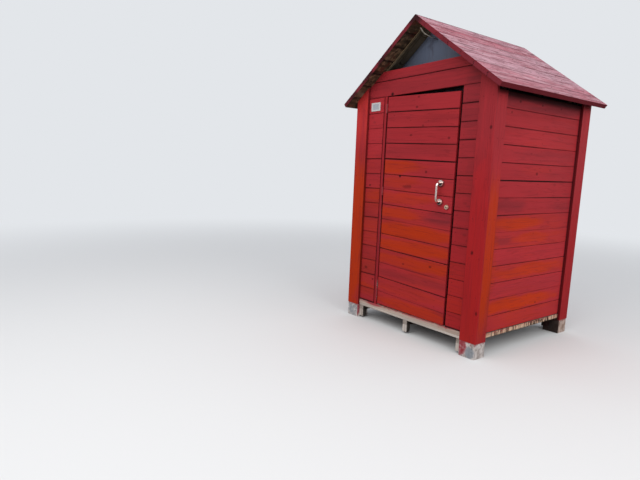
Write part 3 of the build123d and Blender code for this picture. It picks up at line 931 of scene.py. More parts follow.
class Growth(Wiring):
    """A Geometry Nodes tree with named inputs, applied once to give a plain mesh."""

    def __init__(self, name: str, **kinds: str) -> None:
        """Starts the tree.

        Args:
            name: The tree's name.
            kinds: Names of its inputs by their kind, such as Int or Vector, with commas between.
        """
        super().__init__(bpy.data.node_groups.new(name, "GeometryNodeTree"))
        self.tree.is_modifier = True
        sockets = self.tree.interface
        self.keys: dict[str, str] = {}
        for kind, labels in kinds.items():
            for label in labels.split(", "):
                made = sockets.new_socket(name=label, in_out="INPUT", socket_type=f"NodeSocket{kind}")
                self.keys[label] = made.identifier
        sockets.new_socket(name="Geometry", in_out="OUTPUT", socket_type="NodeSocketGeometry")
        self.given = self.node("NodeGroupInput").outputs

    def end(self, shape: Socket) -> None:
        """Joins the finished geometry to the output."""
        self.node("NodeGroupOutput", {"Geometry": shape})

    def line(self, count: Value, start: Value, offset: Value) -> Socket:
        """Points in a straight line."""
        return self.out("GeometryNodeMeshLine", {"Count": count, "Start Location": start, "Offset": offset})

    def copies(self, points: Socket, shape: Socket, turn: Value | None = None) -> Socket:
        """Copies of a shape.

        Args:
            points: The points that get one each.
            shape: The shape.
            turn: Its turn, if it has one.

        Returns:
            The copies.
        """
        inputs: Inputs = {"Points": points, "Instance": shape}
        if turn is not None:
            inputs["Rotation"] = turn
        return self.out("GeometryNodeInstanceOnPoints", inputs)

    def real(self, shape: Socket) -> Socket:
        """Copies made into geometry of their own."""
        return self.out("GeometryNodeRealizeInstances", {"Geometry": shape})

    def model(self, source: Socket) -> Socket:
        """The shape of an object, to be copied."""
        info = self.node("GeometryNodeObjectInfo", {"Object": source, "As Instance": True})
        return info.outputs["Geometry"]

    def kept(self, name: str, kind: str) -> Socket:
        """A value that the geometry keeps under a name."""
        return self.out("GeometryNodeInputNamedAttribute", {"Name": name}, data_type=kind)

    def stray(self, most: Socket, seed: Value) -> Socket:
        """A random vector for each element, up to a most in each direction."""
        inputs: Inputs = {0: self.vector("MULTIPLY", most, (-1.0, -1.0, -1.0)), 1: most, "Seed": seed}
        return self.out("FunctionNodeRandomValue", inputs, data_type="FLOAT_VECTOR")

    def chance(self, low: Value, high: Value, seed: Value) -> Socket:
        """A random number for each element."""
        inputs: Inputs = {2: low, 3: high, "Seed": seed}
        return self.node("FunctionNodeRandomValue", inputs, data_type="FLOAT").outputs[1]

    def grow(self, name: str, **values: Any) -> Piece:
        """Runs the tree.

        Args:
            name: Name of the new object.
            values: The tree's inputs; an underscore stands for a space.

        Returns:
            An object with the result as its plain mesh.
        """
        made = placed(name, bpy.data.meshes.new(name))
        modifier = made.modifiers.new("growth", "NODES")
        modifier.node_group = self.tree
        for label, value in values.items():
            modifier[self.keys[label.replace("_", " ")]] = value
        depsgraph = bpy.context.evaluated_depsgraph_get()
        mesh = bpy.data.meshes.new_from_object(made.evaluated_get(depsgraph), depsgraph=depsgraph)
        made.modifiers.remove(modifier)
        made.data = mesh
        mesh.name = name
        return made


@dataclass(frozen=True)
class Run:
    """A straight run of boards: their number, the first's place, the way to the next, turn and seed."""

    count: int
    first: Triple
    step: Triple
    turn: Triple
    seed: int


@dataclass(frozen=True)
class Slack:
    """How far the boards of a run stray, in place, in slant and in bow."""

    play: Triple = ZERO
    tilt: float = 0.0
    bow: float = 0.0


class BoardRows(Growth):
    """Rows of boards, each a little out of place, out of true and unlike its neighbours."""

    def __init__(self) -> None:
        """Builds the tree."""
        super().__init__(
            "board_rows",
            Object="Board",
            Int="Rows, Seed",
            Vector="First, Step, Turn, Play",
            Float="Tilt, Bow",
            Material="Face, Back, End",
        )
        g = self.given
        line = self.line(g["Rows"], g["First"], g["Step"])
        rows = self.copies(line, self.model(g["Board"]), g["Turn"])
        shift = self.stray(g["Play"], g["Seed"])
        moved: Inputs = {"Instances": rows, "Translation": shift, "Local Space": True}
        rows = self.out("GeometryNodeTranslateInstances", moved)
        lean = self.chance(self.times(g["Tilt"], -1.0), g["Tilt"], self.plus(g["Seed"], 7))
        turn = self.out("ShaderNodeCombineXYZ", {1: lean})
        leant: Inputs = {"Instances": rows, "Rotation": turn, "Local Space": True}
        rows = self.out("GeometryNodeRotateInstances", leant)
        own = self.chance(0.0, 1.0, self.plus(g["Seed"], 19))
        numbered: Inputs = {"Geometry": rows, "Name": "board", "Value": own}
        rows = self.out("GeometryNodeStoreNamedAttribute", numbered, data_type="FLOAT", domain="INSTANCE")
        whole = self.bowed(self.real(rows))
        for side, label in ((None, "Face"), (BoardSide.BACK, "Back"), (BoardSide.END, "End")):
            whole = self.coated(whole, side, g[label])
        self.end(whole)

    def bowed(self, shape: Socket) -> Socket:
        """Bends each board slightly, as dried boards do.

        Args:
            shape: The boards.

        Returns:
            The boards, bent.
        """
        along = self.parts(self.kept("grain", "FLOAT_VECTOR"))[0]
        spot = self.out("ShaderNodeCombineXYZ", {0: along, 1: self.times(self.kept("board", "FLOAT"), 40.0)})
        inputs: Inputs = {"Vector": spot, "Scale": 1.9, "Detail": 1.0}
        wave = self.node("ShaderNodeTexNoise", inputs).outputs[1]
        bend = self.scaled(self.vector("SUBTRACT", wave, (0.5, 0.5, 0.5)), self.given["Bow"])
        return self.out("GeometryNodeSetPosition", {"Geometry": shape, "Offset": bend})

    def coated(self, shape: Socket, side: BoardSide | None, finish: Socket) -> Socket:
        """Gives a finish to the boards.

        Args:
            shape: The boards.
            side: The side of every board that gets it, or None for all of it.
            finish: The finish.

        Returns:
            The boards with it.
        """
        inputs: Inputs = {"Geometry": shape, "Material": finish}
        if side is not None:
            same: Inputs = {"A": self.kept("side", "INT"), "B": side.value}
            inputs["Selection"] = self.out("FunctionNodeCompare", same, data_type="INT", operation="EQUAL")
        return self.out("GeometryNodeSetMaterial", inputs)

    def lay(
        self, name: str, shape: BoardShape, run: Run, slack: Slack, face: Finish, back: Finish, end: Finish
    ) -> Piece:
        """Lays a run of boards.

        Args:
            name: The piece's name.
            shape: The board that is repeated.
            run: Where the boards lie.
            slack: How far they stray.
            face: Finish of their faces and edges.
            back: Finish of their backs.
            end: Finish of their ends.

        Returns:
            The boards, as one piece.
        """
        board = shape.solid()
        places = {"Rows": run.count, "First": run.first, "Step": run.step, "Turn": run.turn}
        chances = {"Play": slack.play, "Tilt": slack.tilt, "Bow": slack.bow, "Seed": run.seed}
        made = self.grow(name, Board=board, **places, **chances, Face=face, Back=back, End=end)
        drop(board)
        return made


class NailGrid(Growth):
    """Nail heads in pairs across each board, at every timber behind it."""

    def __init__(self) -> None:
        """Builds the tree."""
        super().__init__(
            "nail_grid",
            Object="Nail",
            Int="Rows, Lanes, Seed",
            Vector="First, Pair, Row step, Lane step, Turn, Play",
            Material="Finish",
        )
        g = self.given
        pair = self.line(2, g["First"], g["Pair"])
        rows = self.real(self.copies(self.line(g["Rows"], ZERO, g["Row step"]), pair))
        grid = self.real(self.copies(self.line(g["Lanes"], ZERO, g["Lane step"]), rows))
        shifted: Inputs = {"Geometry": grid, "Offset": self.stray(g["Play"], g["Seed"])}
        grid = self.out("GeometryNodeSetPosition", shifted)
        heads = self.real(self.copies(grid, self.model(g["Nail"]), g["Turn"]))
        self.end(self.out("GeometryNodeSetMaterial", {"Geometry": heads, "Material": g["Finish"]}))


class Facing(Enum):
    """The way a wall looks, as its turn from the front in degrees."""

    FRONT = 0.0
    RIGHT = 90.0
    REAR = 180.0
    LEFT = -90.0

    @property
    def turn(self) -> Euler:
        """The rotation that carries a front-facing board round to this wall."""
        return Euler((0.0, 0.0, math.radians(self.value)))

    @property
    def outward(self) -> Vector:
        """The direction that the wall looks in."""
        return self.turn.to_matrix() @ Vector((0.0, -1.0, 0.0))

    @property
    def along(self) -> Vector:
        """The direction that its boards run in."""
        return self.turn.to_matrix() @ Vector((1.0, 0.0, 0.0))


@dataclass(frozen=True)
class Plane:
    """A saw cut: what lies on the normal's side of the point comes off."""

    point: Vector
    normal: Vector


@dataclass(frozen=True)
class Slope:
    """The directions of a roof slope, left for side -1 and right for side 1."""

    side: int

    @property
    def up(self) -> Vector:
        """The way up it."""
        return Vector((-self.side * math.cos(ROOF_PITCH), 0.0, math.sin(ROOF_PITCH)))

    @property
    def normal(self) -> Vector:
        """The way it looks."""
        return Vector((self.side * math.sin(ROOF_PITCH), 0.0, math.cos(ROOF_PITCH)))

    @property
    def turn(self) -> Triple:
        """The turn that carries a front-facing board onto it."""
        return tuple(Matrix((Vector((0.0, self.side, 0.0)), -self.normal, self.up)).transposed().to_euler())

    def cut(self, rise: float) -> Plane:
        """The cut along the underside of its boards, from the height of the ridge's upper edge."""
        return Plane(Vector((0.0, 0.0, rise - ROOF_BOARD * PLUMB)), self.normal)


def saw(made: Piece, cuts: list[Plane], end: Finish) -> None:
    """Cuts a closed piece and closes each cut face.

    Args:
        made: The piece.
        cuts: The cuts, in order.
        end: The finish of the cut faces.
    """
    bm = bmesh.new()
    bm.from_mesh(made.data)
    index = list(made.data.materials).index(end)
    for cut in cuts:
        parts = bm.verts[:] + bm.edges[:] + bm.faces[:]
        where = {"plane_co": cut.point, "plane_no": cut.normal}
        result = bmesh.ops.bisect_plane(bm, geom=parts, dist=1e-6, clear_outer=True, **where)
        edges = [e for e in result["geom_cut"] if isinstance(e, bmesh.types.BMEdge)]
        for face in bmesh.ops.holes_fill(bm, edges=edges, sides=0)["faces"]:
            face.material_index = index
    bm.to_mesh(made.data)
    bm.free()


def drop(*helpers: Piece) -> None:
    """Removes the single boards and nails that the trees copied."""
    for helper in helpers:
        bpy.data.objects.remove(helper)


def settle(made: Piece, body: str, slot: str, *nodes: str) -> None:
    """Joins a finished piece to the frame and reports it.

    Args:
        made: The piece, in place.
        body: The body that it rides on.
        slot: Not used.
        nodes: The nodes that it stands for.
    """
    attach(made, body)
    if nodes:
        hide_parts(*nodes)
    LOG.info("%s: %d faces on %s", made.name, len(made.data.polygons), body)


def dress(finish: Finish, *nodes: str) -> None:
    """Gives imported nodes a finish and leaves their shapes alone.

    Args:
        finish: The finish.
        nodes: The nodes' names.
    """
    for name in nodes:
        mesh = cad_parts[name].data
        mesh.materials.clear()
        mesh.materials.append(finish)
        LOG.info("%s: dressed in %s", name, finish.name)


def joined(name: str, pieces: list[Piece]) -> Piece:
    """Makes one piece of several that have the same finishes.

    Args:
        name: Its name.
        pieces: The pieces, which are used up.

    Returns:
        The first of them, with all the meshes.
    """
    bm = bmesh.new()
    for piece in pieces:
        bm.from_mesh(piece.data)
    bm.to_mesh(pieces[0].data)
    bm.free()
    pieces[0].name = name
    drop(*pieces[1:])
    return pieces[0]


@dataclass
class Finishes:
    """The materials that several pieces share."""

    bare_boards: Finish
    front_red: Finish
    side_red: Finish
    plain_red: Finish
    nail: Finish
    rusty_nail: Finish

    @classmethod
    def mixed(cls) -> "Finishes":
        """Builds them.

        Returns:
            The six materials.
        """
        bare = BareTimber("bare_board_backs", GrainSource.BOARD, "#a98a6b", "#80624a", "#8d8277")
        nail = RedStain("stained_nail_heads", GrainSource.ALONG_X, "#6a1a20", "#6d2014")
        return cls(
            bare_boards=bare.material(),
            front_red=cls.front().material(),
            side_red=cls.side().material(),
            plain_red=RedStain("board_ends_red", cool="#7a1c24", warm="#7c2318").material(),
            nail=nail.material(),
            rusty_nail=BrightMetal("rusty_nail_heads", "#54423a", 0.6).material(),
        )

    @staticmethod
    def front() -> RedStain:
        """The stain of the front panels, the boards over the door and the rear wall.

        Returns:
            The finish, with its areas in place.
        """
        return RedStain(
            "front_boards_red",
            half_cover=0.0658,
            warm_areas=on_front(
                (-0.48, 0.85, 0.25, 0.95, 0.32), (-0.48, 0.30, 0.25, 0.10, 0.5),
                (-0.45, 1.19, 0.25, 0.07, 0.45), (0.50, 0.55, 0.25, 0.65, 0.28),
            ),
            deep_areas=on_front((0.54, 0.60, 0.30, 1.0, 0.45)),
            bright_areas=on_front((-0.50, 1.90, 0.25, 0.50, 0.13)),
            # The dull areas along the top of the front, on the right panel's upper part and the boards over
            # the door, are painted shade under the roof's overhang; the others dull the stain.
            dull_and_shade_areas=(
                on_front(
                    (0.54, 1.35, 0.26, 0.85, 0.34), (0.54, 1.90, 0.22, 0.35, 0.62),
                    (0.66, 2.14, 0.36, 0.20, 0.85), (0.10, 2.16, 1.10, 0.16, 0.42),
                    (-0.50, 1.00, 0.20, 0.12, 0.2), (-0.48, 0.50, 0.20, 0.10, 0.3),
                    (0.57, 1.46, 0.10, 0.10, 0.55), (0.57, 1.19, 0.10, 0.08, 0.55),
                    (0.57, 0.95, 0.08, 0.06, 0.4),
                )
                + on_front((0.50, 1.98, 0.22, 0.10, 0.45), ragged=False)
            ),
            # Painted shade: dark bands in the recesses beside both corner boards, and a dark line along the
            # foot of both panels, above the sill.
            stain_and_painted_light_areas=on_front(
                (-0.584, 1.1, 0.012, 5.0, 0.7), (0.586, 1.1, 0.008, 5.0, 0.5),
                (-0.50, 0.180, 0.60, 0.024, 1.0), (0.50, 0.180, 0.60, 0.022, 1.0),
                ragged=False,
            ),
            knots=on_front(
                (-0.521, 1.288, 0.016, 0.012, 0.9), (-0.420, 0.408, 0.014, 0.011, 0.8),
                (-0.516, 0.507, 0.030, 0.018, 0.55), (-0.300, 2.084, 0.023, 0.020, 1.0),
                ragged=False,
            ),
            open_joints=on_front((0.52, 1.55, 0.3, 0.75, 0.42), (-0.5, 1.35, 0.3, 0.3, 0.3), ragged=False),
        )

    @staticmethod
    def side() -> RedStain:
        """The stain of both side walls.

        Returns:
            The finish, with its areas in place.
        """
        return RedStain(
            "side_boards_red",
            half_cover=0.064,
            joint="#66181d",
            soot=0.22,
            bright_areas=on_right((0.0, 0.55, 1.2, 0.85, 0.30), (-0.1, 1.45, 0.9, 0.50, 0.14)),
            warm_areas=on_right(
                (0.0, 0.60, 1.0, 0.80, 0.30), (-0.26, 1.04, 0.62, 0.085, 0.72),
                (-0.02, 0.91, 0.44, 0.080, 0.60), (0.0, 0.645, 0.90, 0.080, 0.66),
                (-0.10, 0.383, 0.90, 0.085, 1.0), (-0.54, 0.72, 0.14, 0.45, 0.5),
                (-0.05, 1.45, 0.40, 0.06, 0.25),
            ),
            # The top row's dull band is painted shade under the eave; the other areas dull the stain.
            dull_and_shade_areas=(
                on_right((0.0, 1.955, 1.2, 0.085, 0.80), ragged=False)
                + on_right(
                    (0.1, 1.565, 0.9, 0.07, 0.35), (-0.40, 1.18, 0.34, 0.07, 0.55),
                    (0.42, 1.16, 0.30, 0.06, 0.35), (0.30, 1.42, 0.28, 0.05, 0.2),
                    (0.0, 0.515, 0.9, 0.07, 0.2), (-0.42, 0.90, 0.16, 0.04, 0.45),
                )
            ),
            # Painted shade: a dark band along the top of the wall under the eave, and dark bands in the
            # recesses beside both corner boards.
            stain_and_painted_light_areas=on_right(
                (0.0, 2.022, 5.0, 0.075, 0.97), (0.560, 1.1, 0.016, 5.0, 0.8),
                (-0.560, 1.1, 0.012, 5.0, 0.45),
                ragged=False,
            ),
            knots=on_right(
                (-0.034, 1.427, 0.022, 0.018, 0.6), (0.148, 0.346, 0.014, 0.010, 0.75),
                (-0.366, 1.955, 0.020, 0.014, 0.7), (-0.052, 1.956, 0.018, 0.012, 0.7),
                (0.236, 1.956, 0.018, 0.012, 0.6), (-0.465, 1.869, 0.014, 0.012, 0.6),
                ragged=False,
            ),
            open_joints=on_right(
                (-0.1, 1.37, 0.9, 0.03, 0.95), (-0.1, 1.50, 0.8, 0.03, 0.35),
                (0.2, 1.24, 0.5, 0.03, 0.45), (-0.3, 1.63, 0.5, 0.03, 0.45),
                (-0.3, 1.11, 0.5, 0.03, 0.40), (0.1, 1.76, 0.7, 0.03, 0.30),
                ragged=False,
            ),
        )


@dataclass
class BoardedWalls:
    """The horizontal boarding of the four walls."""

    finishes: Finishes
    rows_tree: BoardRows
    front_cover: float = 0.135
    side_cover: float = 0.1315
    front_gap: float = 0.0028
    side_gap: float = 0.0024
    side_start: float = 0.0055
    sliver: float = 0.01
    slack: Slack = Slack((0.0, 0.0006, 0.0014), math.radians(0.05), 0.003)

    def build(self) -> None:
        """Builds every wall."""
        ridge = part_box("roof_right_slope")[1].z
        gables = [Slope(side).cut(ridge) for side in (-1, 1)]
        for node, name, facing, cuts, seed in (
            ("front_left_panel", "left_panel_boards", Facing.FRONT, [], 5),
            ("front_right_panel", "right_panel_boards", Facing.FRONT, [], 23),
            ("front_head_panel", "door_head_boards", Facing.FRONT, gables, 31),
            ("rear_wall", "rear_wall_boards", Facing.REAR, gables, 47),
            ("left_wall", "left_wall_boards", Facing.LEFT, [], 62),
            ("right_wall", "right_wall_boards", Facing.RIGHT, [], 58),
        ):
            self.wall(node, name, facing, cuts, seed)

    def wall(self, node: str, name: str, facing: Facing, cuts: list[Plane], seed: int) -> None:
        """Builds one face of boarding.

        Args:
            node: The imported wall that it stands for.
            name: The new piece's name.
            facing: The way it looks.
            cuts: Cuts along the roof.
            seed: Seed of its chance differences.
        """
        low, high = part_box(node)
        middle, half = (low + high) / 2, (high - low) / 2
        aside = facing in (Facing.LEFT, Facing.RIGHT)
        cover, gap = (self.side_cover, self.side_gap) if aside else (self.front_cover, self.front_gap)
        start = low.z + (self.side_start if aside else 0.0)
        deep = abs(half.dot(facing.outward))
        face = middle + facing.outward * deep
        rows = math.ceil((high.z - start) / cover - self.sliver)
        shape = BoardShape(2 * abs(half.dot(facing.along)), cover, 2 * deep, gap)
        run = Run(rows, (face.x, face.y, start + cover / 2), (0.0, 0.0, cover), tuple(facing.turn), seed)
        red = self.finishes.side_red if aside else self.finishes.front_red
        ends = self.finishes.plain_red
        made = self.rows_tree.lay(name, shape, run, self.slack, red, self.finishes.bare_boards, ends)
        top = Plane(Vector((0.0, 0.0, high.z)), Vector((0.0, 0.0, 1.0)))
        saw(made, [top, *cuts], ends)
        settle(made, "hut", "wall_red", node)


@dataclass
class BoardedRoof:
    """The two roof slopes, boarded along the ridge."""

    rows_tree: BoardRows
    rows: int = 7
    eave_trim: float = 0.014
    end_gap: float = 0.0006
    gap: float = 0.0024
    arris: float = 0.0026
    joint: float = 0.002
    sunk: float = 0.0010
    slack: Slack = Slack((0.0012, 0.0002, 0.0016), math.radians(0.04), 0.0016)

    @property
    def half_width(self) -> float:
        """Half the roof's width, from the ridge to the eave's edge."""
        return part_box("roof_right_slope")[1].x

    @property
    def cover(self) -> float:
        """What each board covers up the slope."""
        return (self.half_width * PLUMB + self.eave_trim) / self.rows

    def build(self) -> None:
        """Builds both slopes."""
        apex = Patch((0.0, -0.79, 2.64), (0.16, 0.12, 0.10), 0.9)
        far = Patch((-0.5, -0.79, 2.26), (0.6, 0.04, 0.5), 0.85)
        tones = ("#76222c", "#6f2420", "#38101a", "#26080c")
        edge = RedStain("roof_edges_red", GrainSource.BOARD, *tones, stain_and_painted_light_areas=(apex, far)).material()
        for side, name in ((-1, "roof_left_slope"), (1, "roof_right_slope")):
            self.slope(Slope(side), name, edge)

    def slope(self, slope: Slope, node: str, edge: Finish) -> None:
        """Builds one slope.

        Args:
            slope: Its directions.
            node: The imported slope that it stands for.
            edge: Finish of the board ends and the eave's edge.
        """
        low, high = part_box(node)
        wide, ridge, cover = self.half_width, high.z, self.cover
        eave = Vector((slope.side * wide, 0.0, ridge - wide * math.tan(ROOF_PITCH)))
        hand = "left" if slope.side < 0 else "right"
        half_cover = cover / 2 - self.joint
        length = high.y - low.y - 2 * self.slack.play[0] - self.end_gap
        shape = BoardShape(length, cover, ROOF_BOARD - self.sunk, self.gap, self.arris)
        first = eave + slope.up * (cover / 2 - self.eave_trim) - slope.normal * self.sunk
        run = Run(self.rows, tuple(first), tuple(slope.up * cover), slope.turn, 81 + slope.side)
        top = FadedRoof(f"faded_roof_{hand}", half_cover).material()
        under = self.underside(hand, half_cover).material()
        made = self.rows_tree.lay(f"{node}_boards", shape, run, self.slack, top, under, edge)
        ridge_cut = Plane(Vector((0.0, 0.0, ridge)), Vector((-slope.side, 0.0, 0.0)))
        saw(made, [ridge_cut, Plane(eave, -slope.up)], edge)
        settle(made, "hut", "roof_red", node)

    def underside(self, hand: str, half_cover: float) -> BareTimber:
        """The lower faces: brown boards, paler on the overhang and here and there at its edge.

        Args:
            hand: Left or right, for the name.
            half_cover: Half of what a board covers, less its joint.

        Returns:
            The finish.
        """
        edge_spots = (
            Patch((-0.62, -0.73, 2.10), (0.07, 0.05, 0.06), 0.6),
            Patch((-0.30, -0.74, 2.36), (0.06, 0.05, 0.05), 0.45),
        )
        return BareTimber(
            f"roof_underside_{hand}", GrainSource.BOARD, "#6f5a44", "#453527", "#5a5244", 0.35,
            stain_and_painted_light="#857a66",
            # Painted light: the underside just behind the gable battens lightened to an olive brown.
            stain_and_painted_light_areas=(Patch((0.0, -0.568, 2.3), (5.0, 0.075, 5.0), 0.95, False),),
            blotched=0.6,
            pale_areas=edge_spots,
            half_cover=half_cover,
        )


@dataclass
class DeckBoards:
    """The floor's boards, laid from side to side between the corner posts, and the lath below the sill."""

    rows_tree: BoardRows
    side_board: float = 0.115
    full_rows: int = 11
    gap: float = 0.007
    end_gap: float = 0.002
    sunk: float = 0.0006
    slack: Slack = Slack((0.001, 0.0004, 0.0015), 0.0005, 0.001)
    lath_depth: float = 0.021
    lath_play: float = 0.0004
    lath_end_gap: float = 0.006
    lath_arris: float = 0.0012

    @property
    def full_y(self) -> float:
        """How far the full boards reach to the front and to the rear."""
        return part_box("floor_deck")[1].y - self.side_board

    @property
    def full_cover(self) -> float:
        """What each full board covers."""
        return 2 * self.full_y / self.full_rows

    def build(self) -> None:
        """Builds the full boards, the short ones at both ends, and joins them."""
        low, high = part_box("floor_deck")
        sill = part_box("front_sill")
        y = self.full_y
        face = BareTimber("deck_boards", GrainSource.BOARD, "#a98e74", "#75604c", "#98908a", 0.6).material()
        split = Patch((0.70, 0.22, low.z + 0.01), (0.3, 0.30, 0.06), 0.9)
        end = EndGrain("deck_board_ends", high.z, split).material()
        wide, short = high.x - low.x, sill[1].x - sill[0].x
        groups = (
            ("deck_full", wide, -y, y, self.full_rows),
            ("deck_front", short, low.y, -y, 1),
            ("deck_rear", short, y, high.y, 1),
        )
        whole = joined("deck_boards", [self.group(*group, face, end) for group in groups])
        settle(whole, "hut", "deck_wood", "floor_deck")
        self.lath()

    def lath(self) -> None:
        """The thin lath below the sill board, nailed across the ends of the joists."""
        low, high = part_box("front_sill")
        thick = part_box("floor_joists")[0].y - low.y - 2 * self.lath_play
        length = high.x - low.x - self.lath_end_gap
        shape = BoardShape(length, self.lath_depth, thick, self.sunk, self.lath_arris, 0.0)
        wood = BareTimber("sill_lath_face", GrainSource.ALONG_X, "#d2c6bb", "#a4968a", "#bdb3aa", 0.6)
        first = (0.0, low.y + self.lath_play, low.z - self.lath_depth / 2)
        run = Run(1, first, (0.0, 0.0, self.lath_depth), tuple(Facing.FRONT.turn), 9)
        face = wood.material()
        settle(self.rows_tree.lay("sill_lath", shape, run, Slack(), face, face, face), "hut", "deck_wood")

    def group(
        self, name: str, length: float, y_low: float, y_high: float, rows: int, face: Finish, end: Finish
    ) -> Piece:
        """Builds the boards of one length.

        Args:
            name: Name of the piece.
            length: Length of its boards.
            y_low: Where they start.
            y_high: Where they end.
            rows: How many there are.
            face: Finish of the boards.
            end: Finish of their ends.

        Returns:
            The boards, in place.
        """
        low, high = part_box("floor_deck")
        cover = (y_high - y_low) / rows
        shape = BoardShape(length - self.end_gap, cover, high.z - low.z, self.gap, tongue=0.0)
        first = (0.0, y_low + cover / 2, high.z - self.sunk)
        run = Run(rows, first, (0.0, cover, 0.0), FACE_UP, rows + 2)
        return self.rows_tree.lay(name, shape, run, self.slack, face, face, end)


@dataclass
class SaggedDoor:
    """The door leaf: its boards slope down to the latch, its upright edges stay plumb."""

    finishes: Finishes
    rows_tree: BoardRows
    cover: float = 0.135
    rows: int = 14
    gap: float = 0.004
    sag: float = 0.033
    bottom_rise: float = 0.006
    slack: Slack = Slack((0.0, 0.0006, 0.0018), math.radians(0.08), 0.003)

    def build(self) -> None:
        """Builds the leaf's boards."""
        low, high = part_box("door_leaf")
        middle, wide = (low + high) / 2, high.x - low.x
        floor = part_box("front_left_panel")[0].z
        shape = BoardShape(wide, self.cover, high.y - low.y, self.gap)
        first = (middle.x, low.y, floor + self.cover / 2)
        run = Run(self.rows, first, (0.0, 0.0, self.cover), ZERO, 12)
        edge = RedStain("door_edges_red", cool="#a8282e", warm="#a82f1c").material()
        red, bare = self.stain().material(), self.finishes.bare_boards
        made = self.rows_tree.lay("door_leaf_boards", shape, run, self.slack, red, bare, edge)
        made.data.transform(self.lean())
        head = Plane(Vector((low.x, 0.0, high.z)), Vector((self.sag, 0.0, wide)).normalized())
        foot = Plane(Vector((high.x, 0.0, low.z)), Vector((-self.bottom_rise, 0.0, -wide)).normalized())
        saw(made, [head, foot], edge)
        settle(made, "door", "door_red", "door_leaf")

    def lean(self) -> Matrix:
        """The slant that the leaf's boards took when it sagged.

        Returns:
            A shear that drops the latch side and leaves the hinge side where it is.
        """
        low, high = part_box("door_leaf")
        fall = -self.sag / (high.x - low.x)
        slant = Matrix.Identity(4)
        slant[2][0] = fall
        slant[2][3] = -fall * low.x
        return slant

    def stain(self) -> RedStain:
        """Its stain, by board row from the top: crimson, then orange on the left, dark at the lock.

        Returns:
            The finish, with its areas in place.
        """
        return RedStain(
            "door_boards_red",
            drift=0.25,
            half_cover=0.0658,
            warm_areas=on_front(
                (-0.05, 0.72, 0.90, 0.80, 0.38), (-0.26, 1.455, 0.56, 0.085, 0.72),
                (-0.20, 1.325, 0.44, 0.075, 0.36), (-0.14, 1.185, 0.62, 0.085, 0.62),
                (-0.20, 1.050, 0.56, 0.090, 0.72), (-0.06, 0.90, 0.90, 0.100, 0.86),
                (-0.02, 0.76, 0.95, 0.100, 0.86), (0.0, 0.63, 0.90, 0.090, 0.74),
                (0.0, 0.365, 0.85, 0.090, 0.46), (0.05, 0.235, 0.80, 0.085, 0.62),
            ),
            bright_areas=on_front((0.0, 1.05, 0.9, 0.75, 0.07), (0.0, 0.36, 0.9, 0.16, 0.10)),
            dull_and_shade_areas=(
                on_front(
                    (0.0, 1.59, 0.70, 0.065, 0.30), (0.0, 0.50, 0.80, 0.055, 0.42),
                    ragged=False,
                )
                + on_front(
                    (0.28, 1.045, 0.20, 0.085, 0.85), (-0.05, 1.17, 0.30, 0.035, 0.15),
                )
            ),
            # Painted shade round the pull's two roses, and a darker spot round the lock.
            stain_and_painted_light_areas=on_front(
                (0.288, 1.328, 0.044, 0.044, 0.9), (0.288, 1.178, 0.044, 0.044, 0.9),
                (0.358, 1.143, 0.030, 0.030, 0.6),
                ragged=False,
            ),
            knots=(
                on_front(
                    (-0.155, 1.379, 0.018, 0.016, 1.0), (-0.002, 2.032, 0.018, 0.014, 0.5),
                    (-0.015, 1.950, 0.018, 0.013, 0.6), (0.061, 1.795, 0.015, 0.012, 0.5),
                    (-0.061, 1.724, 0.020, 0.014, 0.5), (0.328, 1.684, 0.018, 0.014, 0.55),
                    (0.126, 1.418, 0.018, 0.016, 0.6), (-0.056, 0.616, 0.020, 0.014, 0.45),
                    (0.237, 0.641, 0.020, 0.014, 0.6),
                    ragged=False,
                )
                + on_front((-0.056, 1.288, 0.040, 0.022, 0.4))
            ),
            open_joints=on_front(
                (0.05, 1.655, 0.9, 0.045, 0.9), (0.15, 1.515, 0.9, 0.045, 0.8),
                (0.03, 1.93, 0.9, 0.045, 0.6), (0.1, 1.38, 0.4, 0.04, 0.5),
                (-0.2, 1.80, 0.4, 0.04, 0.3),
                ragged=False,
            ),
        )


